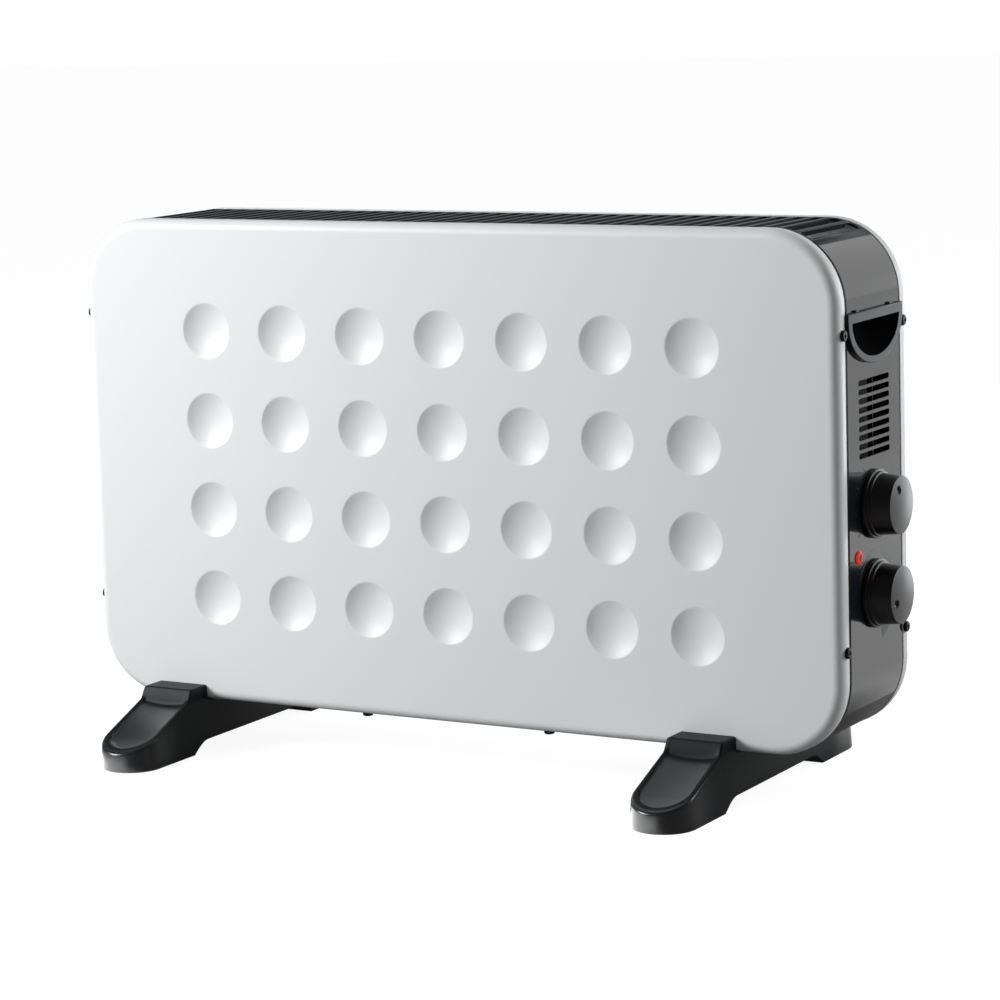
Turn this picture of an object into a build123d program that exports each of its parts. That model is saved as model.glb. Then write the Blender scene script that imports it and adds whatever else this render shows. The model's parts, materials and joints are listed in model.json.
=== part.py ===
from build123d import *
import os
from math import atan2, cos, degrees, radians, sin

os.makedirs("parts", exist_ok=True)

# Body: two pressed steel panels joined by a ring of sheet and moulded plates.
# X runs along the width, Y from front to back, Z up from the floor.
body_width = 530.0
body_height = 310.0
body_depth = 100.0
corner_radius = 45.5
foot_rise = 33.0
panel_sheet = 0.8
rim_depth = 10.5
edge_roll = 6.0

# Front panel dimples
dimple_pitch = 57.3
dimple_columns = 7
dimple_rows = 4
dimple_radius = 17.6
dimple_depth = 4.4
dimple_drop = 1.2

# Rear panel stiffening field
field_margin = 38.0
field_depth = 2.4
field_corner = 24.0

# Ring of plates between the two panels, with edges that step down under the panels' rims
ring_drop = 0.4
ring_gap = 0.8
ring_sheet = 1.0
ring_groove = 0.9
grille_end_angle = 51.0
bottom_end_angle = 28.4

# Top grille
grille_pitch = 11.4
grille_slot_width = 7.8
grille_side_margin = 8.5
grille_end_margin = 4.0
grille_lip = 3.0
grille_lip_sheet = 0.8

# Bottom air intake
intake_pitch = 12.0
intake_slot_width = 5.6
intake_side_margin = 15.0
intake_foot_gap = 30.0

# Side vents beside the controls
vent_count = 9
vent_pitch = 5.35
vent_height = 3.4
vent_length = 44.1
vent_top_z = 251.4
vent_y = 1.3
vent_rib_width = 1.0
vent_rib_depth = 1.2
vent_rib_overlap = 2.0

# Recessed carrying handles: a D-shaped border round a scoop with a flat ceiling
cup_screw_gap = 0.5
cup_top_z = 293.5
cup_drop = 26.0
cup_top_border = 5.7
cup_side_border = 5.5
cup_low_border = 4.1
cup_flange = 2.5
cup_border_round = 0.7
cup_wall = 1.8
cup_depth = 28.0
cup_clearance = 0.25
cup_tab_width = 4.0
cup_tab_rise = 1.0
cup_tab_y = 24.0
cup_tab_sheet = 1.6

# Controls on the right side
selector_z = 178.2
thermostat_z = 124.7
knob_skirt_radius = 20.5
knob_skirt_height = 2.4
knob_step_radius = 19.3
knob_step_height = 4.6
knob_grip_radius = 18.2
knob_face_radius = 17.2
knob_height = 18.4
knob_dome = 1.8
knob_gap = 0.5
knob_hollow_radius = 15.0
knob_hollow_depth = 12.5
knob_hub_radius = 5.4
knob_bore_spare = 1.0
pointer_distance = 11.2
pointer_radius = 2.7
pointer_depth = 1.8
selector_pointer_angle = 30.0
thermostat_pointer_angle = 109.0
shaft_radius = 3.0
shaft_flat = 2.1
shaft_reach = 15.0
hub_fit = 0.03
running_fit = 0.05
neck_radius = 5.0
panel_fit = 0.2
control_screw_offset = 11.0

# Rotary switch behind the selector knob
switch_side = 34.0
switch_depth = 22.0
switch_cavity_radius = 14.0
switch_front_wall = 3.0
switch_cover_sheet = 1.6
control_screw_length = 3.5
blade_distance = 8.7
rotor_radius = 13.4
rotor_height = 10.0
rotor_notch_radius = 3.0
rotor_notch_depth = 5.0
rotor_notches = 3
blade_width = 6.3
blade_sheet = 0.8
blade_reach = 9.0
blade_fit = 0.1

# Thermostat behind the lower knob
thermo_frame_width = 18.0
thermo_frame_half_height = 21.0
thermo_frame_sheet = 1.2
thermo_frame_depth = 17.0
thermo_base_depth = 8.0
spindle_reach_in = 9.0
thermo_neck_depth = 4.0
bimetal_sheet = 0.8
bimetal_gap = 0.3
bimetal_half_width = 3.5
bimetal_foot = 4.0
bimetal_free = 6.0
contact_sheet = 0.5
contact_half_width = 2.5
contact_near = 2.0
contact_far = 4.0
contact_overrun = 3.0
contact_post_radius = 1.6
contact_post_inset = 5.0

# Indicator lamp
lamp_y = -23.6
lamp_z = 149.6
lens_radius = 3.9
lens_rise = 1.3
lens_round = 1.0
lens_stem_radius = 3.2
lens_stem = 8.0
lamp_body_radius = 4.6
lamp_body_length = 20.0
lamp_bulb_radius = 2.2
lamp_window = 12.0
lamp_bulb_gap = 2.0

# Screws
screw_head_radius = 3.3
screw_head_height = 1.9
screw_head_round = 1.1
screw_shank_radius = 1.75
screw_length = 7.0
screw_fit = 0.1
cross_length_share = 1.1
cross_width = 0.9
cross_depth = 1.1
rim_screw_inset = 7.2
rim_screw_low_z = 96.7
rim_screw_high_z = 281.8
bottom_screw_x = 65.5

# Feet
foot_length = 256.0
foot_width = 41.0
foot_draft = 2.7
right_foot_inset = 87.7
left_foot_inset = 63.0
foot_arch_height = 7.5
foot_front_pad = 59.0
foot_arch_slope = 16.0
toe_height = 12.0
clip_height = 9.7
clip_thickness = 17.0
clip_chamfer = 1.4
clip_face_run = 4.2
clip_gap = 0.3
knee_rise = 2.5
tongue_sag = 0.6
saddle_gap = 1.0
tongue_border = 4.0
tongue_depth = 2.6
tongue_toe_margin = 9.0
foot_screw_y = 30.0
foot_screw_radius = 2.0
foot_screw_head_radius = 4.0
foot_screw_head_height = 2.6
foot_screw_reach = 5.0
foot_screw_well_gap = 0.6
foot_screw_spare = 1.0
foot_nut_across = 7.0
foot_nut_height = 3.2
foot_nut_room = 3.0

# Heating chamber
partition_inset = 71.0
partition_sheet = 1.0
partition_side_gap = 13.0
partition_top_gap = 17.0
partition_flange = 9.0
partition_foot_y = -13.0
reflector_inset = 13.4
reflector_sheet = 0.8
reflector_top_z = 196.0
reflector_left_inset = 51.0
reflector_flange = 4.5
reflector_partition_gap = 0.2
element_left_inset = 59.0
element_end_gap = 0.2
element_side_gap = 18.5
element_low_z = 62.0
element_high_z = 140.0
element_rail_height = 6.0
element_sheet = 1.0
board_sheet = 1.6
board_count = 5
board_gap = 0.2
board_end_margin = 17.0
board_drop = 4.0
element_foot_reach = 7.0
element_foot_width = 10.0
wire_radius = 2.0
wire_fit = 0.25
wire_y = 14.0
wire_run_spacing = 16.0
wire_runs = 4
wire_bottom_z = 77.0
wire_turn_overhang = 5.0
wire_end_gap = 2.0
terminal_pin_radius = 2.0
terminal_pin_reach = 14.0
terminal_fit = 0.1
insulator_radius = 4.6
insulator_flange_radius = 6.6
insulator_flange = 2.5
insulator_reach = 4.0
insulator_fit = 0.15

# Overheat cut-out
cutout_x = 40.0
cutout_bracket_width = 20.0
cutout_bracket_rise = 26.0
cutout_radius = 8.0
cutout_height = 7.0
cutout_tab = 8.0
cutout_tab_height = 4.0
cutout_tab_level = 3.0
cutout_top_margin = 1.0

# Mains side
block_length = 40.0
block_height = 18.0
block_depth = 14.0
block_z = 214.0
block_ways = 3
block_bore_radius = 2.4
earth_y = -26.0
earth_z = 58.0
earth_washer_radius = 4.4
earth_washer_sheet = 2.0
gland_inset = 56.0
gland_y = 24.0
gland_bore_radius = 4.2
gland_neck_radius = 6.4
gland_flange_radius = 8.6
gland_flange = 2.0
gland_drop = 6.0
gland_rise = 3.0
gland_lip = 1.2
gland_fit = 0.15
clamp_y = 0.0
clamp_length = 30.0
clamp_width = 9.0
clamp_base_height = 5.0
clamp_bar_height = 3.0
clamp_groove_radius = 3.2
clamp_bar_groove_radius = 1.9
clamp_screw_offset = 11.0
clamp_screw_floor = 0.6

# Internal leads, run in lanes between the partition and the controls
lead_radius = 1.1
lead_bend = 2.0
lead_hole_radius = 3.4
lead_hole_rise = 40.0
lead_pair_offset = 1.6
near_lane_inset = 50.0
middle_lane_inset = 44.0
far_lane_inset = 39.0
earth_lane_gap = 2.0
earth_lane_inset = 18.0
neutral_lane_y = -8.0
lamp_lane_y = -25.2
lead_drop = 7.0
lead_slant = 10.0
hot_lead_x = 14.0
hot_lead_y = -20.0

# Places that follow from the sizes above
half_width = body_width / 2
half_depth = body_depth / 2
body_bottom = foot_rise
body_top = foot_rise + body_height
body_middle = foot_rise + body_height / 2
arc_x = half_width - corner_radius
arc_low_z = body_bottom + corner_radius
arc_high_z = body_top - corner_radius
ring_step = panel_sheet + ring_gap
ring_half_depth = half_depth - edge_roll
ring_half_field = half_depth - rim_depth - ring_groove
ring_outer_x = half_width - ring_drop
ring_inner_x = ring_outer_x - ring_sheet
ring_radius = corner_radius - ring_drop
ring_bottom = body_bottom + ring_drop
ring_floor = ring_bottom + ring_sheet
ring_top = body_top - ring_drop
rim_screw_y = half_depth - rim_screw_inset
knob_tip_x = ring_outer_x + knob_gap + knob_height
screw_tip_x = half_width + screw_head_height
frame_shift = -(knob_tip_x - screw_tip_x) / 2
ring_turn = radians(90 - grille_end_angle)
grille_reach = arc_x + ring_radius * ring_turn - grille_slot_width / 2 - grille_end_margin
grille_slots = 2 * int(grille_reach / grille_pitch) + 1
grille_slot_length = 2 * (ring_half_depth - grille_side_margin)
cup_half_width = rim_screw_y - screw_head_radius - cup_screw_gap
right_foot_x = half_width - right_foot_inset
left_foot_x = left_foot_inset - half_width
intake_reach = right_foot_x - foot_width / 2 - intake_foot_gap
intake_slots = 2 * int(intake_reach / intake_pitch) + 1
intake_slot_length = 2 * (ring_half_depth - intake_side_margin)
partition_x = half_width - partition_inset
partition_face_x = partition_x + partition_sheet
partition_half_depth = half_depth - partition_side_gap
partition_top_z = body_top - partition_top_gap
reflector_y = half_depth - reflector_inset
reflector_left_x = reflector_left_inset - half_width
element_left_x = element_left_inset - half_width
element_half_depth = half_depth - element_side_gap
gland_x = half_width - gland_inset
near_lane_x = half_width - near_lane_inset
middle_lane_x = half_width - middle_lane_inset
far_lane_x = half_width - far_lane_inset
earth_lane_x = partition_face_x + earth_lane_gap
earth_lane_y = half_depth - earth_lane_inset


def write(name, shape):
    """Save one node, moved so that the origin is under the middle of the whole heater."""
    export_step(Pos(frame_shift, 0, 0) * shape, f"parts/{name}.step")


def through_depth(outline, y_low, y_high):
    """Solid of an outline drawn in X and Z, between two depths."""
    return Pos(0, y_high, 0) * Rot(90, 0, 0) * extrude(outline, y_high - y_low)


def along_width(outline, x_low, x_high):
    """Solid of an outline drawn in Y and Z, between two places across the width."""
    return extrude(Plane.YZ.offset(x_low) * outline, x_high - x_low)


def body_block(inset, y_low, y_high):
    """Rounded block inside the body's outline, drawn in by an inset."""
    width = body_width - 2 * inset
    height = body_height - 2 * inset
    outline = RectangleRounded(width, height, corner_radius - inset)
    return Pos(0, 0, body_middle) * through_depth(outline, y_low, y_high)


def span_box(low, high):
    """Box between two opposite corners."""
    size = [high[i] - low[i] for i in range(3)]
    middle = [(high[i] + low[i]) / 2 for i in range(3)]
    return Pos(*middle) * Box(*size)


def round_x(radius, x_low, x_high, y, z):
    """Round bar across the width."""
    return Pos((x_low + x_high) / 2, y, z) * Rot(0, 90, 0) * Cylinder(radius, x_high - x_low)


def round_y(radius, y_low, y_high, x, z):
    """Round bar from front to back."""
    return Pos(x, (y_low + y_high) / 2, z) * Rot(90, 0, 0) * Cylinder(radius, y_high - y_low)


def round_z(radius, z_low, z_high, x, y):
    """Upright round bar."""
    return Pos(x, y, (z_low + z_high) / 2) * Cylinder(radius, z_high - z_low)


def join(solids):
    """Fuse a list of touching solids."""
    whole = solids[0]
    for solid in solids[1:]:
        whole = whole + solid
    return whole


def pan_screw(head_radius, head_height, shank_radius, length):
    """Cross-head pan screw: head above the XY plane, shank below it."""
    head = Cylinder(head_radius, head_height, align=(Align.CENTER, Align.CENTER, Align.MIN))
    head = fillet(head.edges().sort_by(Axis.Z)[-1], screw_head_round)
    arm = head_radius * cross_length_share
    for turn in (0, 90):
        slot = Pos(0, 0, head_height) * Rot(0, 0, turn) * Box(arm, cross_width, 2 * cross_depth)
        head = head - slot
    shank_align = (Align.CENTER, Align.CENTER, Align.MAX)
    return head + Cylinder(shank_radius, length, align=shank_align)


def rim_screw_places(facing):
    """Where the rim screws of one panel stand, each with its own outward direction."""
    y = facing * rim_screw_y
    places = []
    for side in (-1, 1):
        for z in (rim_screw_low_z, rim_screw_high_z):
            places.append(Pos(side * half_width, y, z) * Rot(0, side * 90, 0))
    for side in (-1, 1):
        places.append(Pos(side * bottom_screw_x, y, body_bottom) * Rot(180, 0, 0))
    return places


def rim_screw_holes(fit):
    """Holes for every rim screw."""
    radius = screw_shank_radius + fit
    hole = Cylinder(radius, 4 * screw_length)
    return [place * hole for facing in (-1, 1) for place in rim_screw_places(facing)]


def panel_tray(y_face):
    """Pressed tray of the front panel, with its face at the given depth and an open back."""
    y_open = y_face + rim_depth
    outer = body_block(0, y_face, y_open)
    outer = fillet(outer.faces().sort_by(Axis.Y)[0].edges(), edge_roll)
    inner = body_block(panel_sheet, y_face + panel_sheet, y_open + rim_depth)
    inner = fillet(inner.faces().sort_by(Axis.Y)[0].edges(), edge_roll - panel_sheet)
    return outer - inner


def dimple_places():
    """Middles of the dimples, row by row."""
    columns = [(i - (dimple_columns - 1) / 2) * dimple_pitch for i in range(dimple_columns)]
    rows = [(i - (dimple_rows - 1) / 2) * dimple_pitch for i in range(dimple_rows)]
    return [(x, body_middle - dimple_drop + z) for z in rows for x in columns]


def front_panel():
    """Front tray with its field of shallow spherical dimples."""
    y_face = -half_depth
    ball = (dimple_radius ** 2 + dimple_depth ** 2) / (2 * dimple_depth)
    y_ball = y_face + dimple_depth - ball
    reach = ball + panel_sheet
    low = y_face + panel_sheet / 2
    slab = span_box((-reach, low, -reach), (reach, y_face + reach, reach))
    back = (Pos(0, y_ball, 0) * Sphere(reach)) & slab
    hollow = Pos(0, y_ball, 0) * Sphere(ball)
    panel = panel_tray(y_face)
    panel = panel + [Pos(x, 0, z) * back for x, z in dimple_places()]
    panel = panel - [Pos(x, 0, z) * hollow for x, z in dimple_places()]
    return panel - rim_screw_holes(screw_fit)


def field_block(shrink, y_low, y_high):
    """Block of the rear panel's stiffening field, smaller by a margin all round."""
    width = body_width - 2 * (field_margin + shrink)
    height = body_height - 2 * (field_margin + shrink)
    outline = RectangleRounded(width, height, field_corner - shrink)
    return Pos(0, 0, body_middle) * through_depth(outline, y_low, y_high)


def rear_panel():
    """Rear tray, with one wide shallow field pressed inwards to stiffen it."""
    panel = panel_tray(-half_depth)
    y_face = -half_depth
    panel = panel + field_block(0, y_face + panel_sheet / 2, y_face + field_depth + panel_sheet)
    panel = panel - field_block(panel_sheet, y_face - panel_sheet, y_face + field_depth)
    return Rot(0, 0, 180) * panel - rim_screw_holes(screw_fit)


def ring_sector(points):
    """Part of the ring of plates that lies inside a region of the front view."""
    field = ring_half_field
    inner_field = ring_half_field - ring_sheet
    outer = body_block(ring_step, -ring_half_depth, ring_half_depth)
    outer = outer + body_block(ring_drop, -field, field)
    inner = body_block(ring_step + ring_sheet, -half_depth, half_depth)
    inner = inner + body_block(ring_drop + ring_sheet, -inner_field, inner_field)
    region = make_face(Polyline(*points, close=True))
    return (outer - inner) & through_depth(region, -half_depth, half_depth)


def ray_point(side, z, angle):
    """Point well outside the body, on a ray from a corner arc's middle."""
    return (side * (arc_x + body_width * cos(radians(angle))), z + body_width * sin(radians(angle)))


def grille_location(distance):
    """Place on the ring's outer face, by the distance along it from the middle of the top."""
    if abs(distance) <= arc_x:
        return Pos(distance, 0, ring_top)
    side = 1 if distance > 0 else -1
    turn = degrees((abs(distance) - arc_x) / ring_radius)
    return Pos(side * arc_x, 0, arc_high_z) * Rot(0, side * turn, 0) * Pos(0, 0, ring_radius)


def top_grille():
    """Slotted outlet grille, wrapped over both top corners, with a lip turned down at each slot."""
    right = ray_point(1, arc_high_z, grille_end_angle)
    left = ray_point(-1, arc_high_z, grille_end_angle)
    grille = ring_sector([(-arc_x, arc_high_z), left, right, (arc_x, arc_high_z)])
    slot = extrude(SlotOverall(grille_slot_length, grille_slot_width, rotation=90), ring_sheet * 6)
    slot = Pos(0, 0, -ring_sheet * 3) * slot
    lip_x = -(grille_slot_width + grille_lip_sheet) / 2
    lip_half = (grille_slot_length - grille_slot_width) / 2
    lip_top = -ring_sheet / 2
    lip = span_box(
        (lip_x - grille_lip_sheet / 2, -lip_half, lip_top - grille_lip),
        (lip_x + grille_lip_sheet / 2, lip_half, lip_top),
    )
    middle = (grille_slots - 1) / 2
    places = [grille_location((i - middle) * grille_pitch) for i in range(grille_slots)]
    grille = grille + [place * lip for place in places]
    return grille - [place * slot for place in places]


def foot_screw_places():
    """X and Y of every screw that holds a foot."""
    feet = (left_foot_x, right_foot_x)
    return [(x, y) for x in feet for y in (-foot_screw_y, foot_screw_y)]


def bottom_plate():
    """Dark floor plate with the air intake, wrapped up both bottom corners."""
    right = ray_point(1, arc_low_z, -bottom_end_angle)
    left = ray_point(-1, arc_low_z, -bottom_end_angle)
    below = -body_width
    points = [(-arc_x, arc_low_z), left, (left[0], below), (right[0], below), right, (arc_x, arc_low_z)]
    plate = ring_sector(points)
    slot = extrude(SlotOverall(intake_slot_length, intake_slot_width, rotation=90), ring_sheet * 6)
    slot = Pos(0, 0, ring_bottom - ring_sheet * 3) * slot
    middle = (intake_slots - 1) / 2
    plate = plate - [Pos((i - middle) * intake_pitch, 0, 0) * slot for i in range(intake_slots)]
    hole_radius = foot_screw_radius + screw_fit
    low = ring_bottom - ring_sheet
    high = ring_floor + ring_sheet
    plate = plate - [round_z(hole_radius, low, high, x, y) for x, y in foot_screw_places()]
    plate = plate - round_z(gland_neck_radius + gland_fit, low, high, gland_x, gland_y)
    return plate - rim_screw_holes(screw_fit)


def cup_outline(half, drop, rise):
    """D outline of a handle recess: a half ellipse below its ceiling and a straight part above it."""
    ceiling = cup_top_z - cup_top_border
    lower = Pos(0, ceiling - drop) * Rectangle(4 * half, 2 * drop)
    bow = (Pos(0, ceiling) * Ellipse(half, drop)) & lower
    if rise == 0:
        return bow
    return bow + Pos(0, ceiling + rise / 2) * Rectangle(2 * half, rise)


def cup_opening():
    """Half width and drop of the opening in a handle's border."""
    return cup_half_width - cup_side_border, cup_drop - cup_low_border


def cup_scoop(grow):
    """Quarter of an ellipsoid: the scoop of the right handle, larger by a margin."""
    half, drop = cup_opening()
    x_face = ring_outer_x + cup_flange
    ceiling = cup_top_z - cup_top_border
    ball = scale(Sphere(1), by=(cup_depth + grow, half + grow, drop + grow))
    reach = 2 * cup_half_width
    quarter = span_box((x_face - reach, -reach, ceiling - reach), (x_face, reach, ceiling))
    return (Pos(x_face, 0, ceiling) * ball) & quarter


def side_plate():
    """Right end plate of the ring, with the hole for its handle recess."""
    high = ray_point(1, arc_high_z, grille_end_angle)
    low = ray_point(1, arc_low_z, -bottom_end_angle)
    far = arc_x + body_width
    points = [(arc_x, arc_low_z), low, (far, low[1]), (far, high[1]), high, (arc_x, arc_high_z)]
    plate = ring_sector(points)
    half, drop = cup_opening()
    grow = cup_wall + cup_clearance
    cut = cup_outline(half + grow, drop + grow, grow)
    plate = plate - along_width(cut, ring_inner_x - ring_sheet, half_width)
    return plate - rim_screw_holes(screw_fit)


def control_side_panel():
    """Right end plate with the vents and the holes for the controls."""
    plate = side_plate()
    low_x = ring_inner_x - ring_sheet
    for i in range(vent_count):
        vent = Pos(vent_y, vent_top_z - i * vent_pitch) * SlotOverall(vent_length, vent_height)
        plate = plate - along_width(vent, low_x, half_width)
    rib_low = vent_top_z - (vent_count - 1) * vent_pitch - vent_height / 2 - vent_rib_overlap
    rib_high = vent_top_z + vent_height / 2 + vent_rib_overlap
    plate = plate + span_box(
        (ring_inner_x - vent_rib_depth, vent_y - vent_rib_width / 2, rib_low),
        (ring_inner_x, vent_y + vent_rib_width / 2, rib_high),
    )
    for z in (selector_z, thermostat_z):
        plate = plate - round_x(neck_radius + panel_fit, low_x, half_width, 0, z)
        for side in (-1, 1):
            z_screw = z + side * control_screw_offset
            plate = plate - round_x(screw_shank_radius + screw_fit, low_x, half_width, 0, z_screw)
    return plate - round_x(lens_stem_radius + panel_fit, low_x, half_width, lamp_y, lamp_z)


def left_side_panel():
    """Plain left end plate."""
    return mirror(side_plate(), Plane.YZ)


def handle_cup():
    """Moulded finger recess of the right side, with its border lying on the side plate."""
    half, drop = cup_opening()
    x_face = ring_outer_x + cup_flange
    ceiling = cup_top_z - cup_top_border
    outline = cup_outline(cup_half_width, cup_drop, cup_top_border)
    border = along_width(outline, ring_outer_x, x_face)
    border = fillet(border.faces().sort_by(Axis.X)[-1].edges(), cup_border_round)
    tab_low = cup_top_z - 2 * cup_tab_rise
    for side in (-1, 1):
        y = side * cup_tab_y
        border = border + span_box(
            (ring_outer_x, y - cup_tab_width / 2, tab_low),
            (ring_outer_x + cup_tab_sheet, y + cup_tab_width / 2, cup_top_z + cup_tab_rise),
        )
    reach = 2 * cup_half_width
    roof = Pos(x_face, 0) * Ellipse(cup_depth + cup_wall, half + cup_wall)
    roof = roof & (Pos(x_face - reach / 2, 0) * Rectangle(reach, 2 * reach))
    shell = cup_scoop(cup_wall) + Pos(0, 0, ceiling) * extrude(roof, cup_wall)
    mouth = along_width(cup_outline(half, drop, 0), x_face, x_face + cup_flange)
    return border + shell - cup_scoop(0) - mouth


def knee_point():
    """Y and Z where the clip's front face meets the tongue."""
    return -half_depth - clip_gap - clip_thickness - clip_face_run, body_bottom + knee_rise


def foot_side():
    """Side view of the front half of a foot, from its middle to the toe."""
    y_clip = -half_depth - clip_gap
    y_front = y_clip - clip_thickness
    y_toe = -foot_length / 2
    z_clip = body_bottom + clip_height
    knee = knee_point()
    sag = ((knee[0] + y_toe) / 2, (knee[1] + toe_height) / 2 - tongue_sag)
    y_pad = y_toe + foot_front_pad
    y_arch = y_pad + foot_arch_slope
    saddle = -(half_depth - rim_depth) + saddle_gap
    lines = [
        Line((0, foot_arch_height), (0, ring_bottom)),
        Line((0, ring_bottom), (saddle, ring_bottom)),
        Line((saddle, ring_bottom), (saddle, body_bottom)),
        Line((saddle, body_bottom), (y_clip, body_bottom)),
        Line((y_clip, body_bottom), (y_clip, z_clip)),
        Line((y_clip, z_clip), (y_front + clip_chamfer, z_clip)),
        Line((y_front + clip_chamfer, z_clip), (y_front, z_clip - clip_chamfer)),
        Line((y_front, z_clip - clip_chamfer), knee),
        ThreePointArc(knee, sag, (y_toe, toe_height)),
        Line((y_toe, toe_height), (y_toe, 0)),
        Line((y_toe, 0), (y_pad, 0)),
        Spline((y_pad, 0), (y_arch, foot_arch_height), tangents=((1, 1), (1, 0))),
        Line((y_arch, foot_arch_height), (0, foot_arch_height)),
    ]
    return make_face(lines)


def stadium(length, width):
    """Plan view of a foot: straight flanks and round toes."""
    return SlotOverall(length, width, rotation=90)


def tongue_dish():
    """Hollow in the top of the tongue: part of a wide round bar laid along its slope."""
    knee = knee_point()
    run = knee[0] + foot_length / 2
    fall = knee[1] - toe_height
    half = foot_width / 2 - tongue_border
    radius = (half ** 2 + tongue_depth ** 2) / (2 * tongue_depth)
    slope = degrees(atan2(fall, run))
    reach = 2 * foot_length
    bar = Rot(slope, 0, 0) * Pos(0, 0, radius - tongue_depth) * Rot(90, 0, 0) * Cylinder(radius, reach)
    bar = Pos(0, knee[0], knee[1]) * bar
    plan = stadium(foot_length - 2 * tongue_toe_margin, 2 * half)
    column = extrude(plan, body_top)
    ahead = span_box((-half, -foot_length, 0), (half, knee[0], body_top))
    return bar & column & ahead


def half_foot():
    """Front half of a foot with its clip, round toe and dished tongue."""
    half = along_width(foot_side(), -foot_width / 2, foot_width / 2)
    half = half & extrude(stadium(foot_length, foot_width), body_bottom + 2 * clip_height, taper=foot_draft)
    return half - tongue_dish()


def foot():
    """One foot across the underside, alike at both ends, with wells for its two screws."""
    front = half_foot()
    whole = front + Rot(0, 0, 180) * front
    seat = body_bottom - foot_screw_reach
    for y in (-foot_screw_y, foot_screw_y):
        whole = whole - round_z(foot_screw_head_radius + foot_screw_well_gap, 0, seat, 0, y)
        whole = whole - round_z(foot_screw_radius + screw_fit, 0, ring_floor, 0, y)
    return whole


def foot_screws():
    """Screws that come up through the feet into the floor plate."""
    seat = body_bottom - foot_screw_reach
    length = ring_floor + foot_nut_height + foot_screw_spare - seat
    screw = Rot(180, 0, 0) * pan_screw(
        foot_screw_head_radius, foot_screw_head_height, foot_screw_radius, length
    )
    return Compound([Pos(x, y, seat) * screw for x, y in foot_screw_places()])


def foot_nuts():
    """Nuts of the foot screws, on the floor plate."""
    nut = extrude(RegularPolygon(foot_nut_across / 2, 6, major_radius=False), foot_nut_height)
    nut = nut - Cylinder(foot_screw_radius + hub_fit, 4 * foot_nut_height)
    return Compound([Pos(x, y, ring_floor) * nut for x, y in foot_screw_places()])


def rim_screws(facing):
    """Screws of one panel's rim."""
    screw = pan_screw(screw_head_radius, screw_head_height, screw_shank_radius, screw_length)
    return Compound([place * screw for place in rim_screw_places(facing)])


def shaft_section(radius, flat):
    """Round section cut off flat on one side."""
    outline = Circle(radius)
    return outline & (Pos(0, flat - radius) * Rectangle(4 * radius, 2 * radius))


def knob(z, pointer_angle):
    """Control knob: stepped skirt, slightly tapered grip, domed face with a pointer dimple."""
    top = knob_height
    profile = make_face([
        Line((0, 0), (knob_skirt_radius, 0)),
        Line((knob_skirt_radius, 0), (knob_skirt_radius, knob_skirt_height)),
        Line((knob_skirt_radius, knob_skirt_height), (knob_step_radius, knob_skirt_height)),
        Line((knob_step_radius, knob_skirt_height), (knob_step_radius, knob_step_height)),
        Line((knob_step_radius, knob_step_height), (knob_grip_radius, knob_step_height)),
        Line((knob_grip_radius, knob_step_height), (knob_face_radius, top - knob_dome)),
        ThreePointArc(
            (knob_face_radius, top - knob_dome),
            (knob_face_radius / 2, top - knob_dome / 4),
            (0, top),
        ),
        Line((0, top), (0, 0)),
    ])
    body = revolve(Plane.XZ * profile, Axis.Z)
    ring = Cylinder(knob_hollow_radius, 2 * knob_hollow_depth) - Cylinder(knob_hub_radius, 2 * top)
    body = body - ring
    bore_depth = shaft_reach + knob_bore_spare - knob_gap
    bore = extrude(shaft_section(shaft_radius + hub_fit, shaft_flat + hub_fit), bore_depth)
    body = body - bore
    ball = (pointer_radius ** 2 + pointer_depth ** 2) / (2 * pointer_depth)
    pointer = Pos(0, pointer_distance, top + ball - pointer_depth - knob_dome / 2) * Sphere(ball)
    body = body - pointer
    return knob_location(z, pointer_angle) * body


def knob_location(z, pointer_angle):
    """Place of a knob's foot, with its pointer turned towards the front from straight up."""
    turn = Rot(pointer_angle, 0, 0)
    stand = Rot(0, 90, 0) * Rot(0, 0, 90)
    return Pos(ring_outer_x + knob_gap, 0, z) * turn * stand


def shaft(x_in, z, pointer_angle):
    """Control shaft from inside the body to the knob, flatted where the knob grips it."""
    round_part = round_x(shaft_radius, x_in, ring_outer_x, 0, z)
    gripped = extrude(shaft_section(shaft_radius, shaft_flat), shaft_reach - knob_gap)
    return round_part + knob_location(z, pointer_angle) * Pos(0, 0, -knob_gap) * gripped


def switch_housing():
    """Moulded switch case with its threaded neck through the side plate."""
    x_low = ring_inner_x - switch_depth
    half = switch_side / 2
    case = span_box((x_low, -half, selector_z - half), (ring_inner_x, half, selector_z + half))
    x_wall = ring_inner_x - switch_front_wall
    case = case - round_x(switch_cavity_radius, x_low - 1, x_wall, 0, selector_z)
    case = case + round_x(neck_radius, x_wall, ring_outer_x, 0, selector_z)
    case = case - round_x(shaft_radius + running_fit, x_low, half_width, 0, selector_z)
    for side in (-1, 1):
        z = selector_z + side * control_screw_offset
        case = case - round_x(screw_shank_radius + screw_fit, x_wall - 1, half_width, 0, z)
    return case


def rotor_span():
    """Ends of the switch rotor along its shaft."""
    high = ring_inner_x - switch_front_wall - control_screw_length
    return high - rotor_height, high


def blade_places():
    """Y and Z of the switch terminals around the shaft."""
    reach = blade_distance
    angles = [45 + 90 * i for i in range(4)]
    return [(reach * cos(radians(a)), selector_z + reach * sin(radians(a))) for a in angles]


def blade(x_low, x_high, y, z, grow):
    """One flat terminal blade."""
    half_w = blade_width / 2 + grow
    half_t = blade_sheet / 2 + grow
    return span_box((x_low, y - half_w, z - half_t), (x_high, y + half_w, z + half_t))


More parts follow.
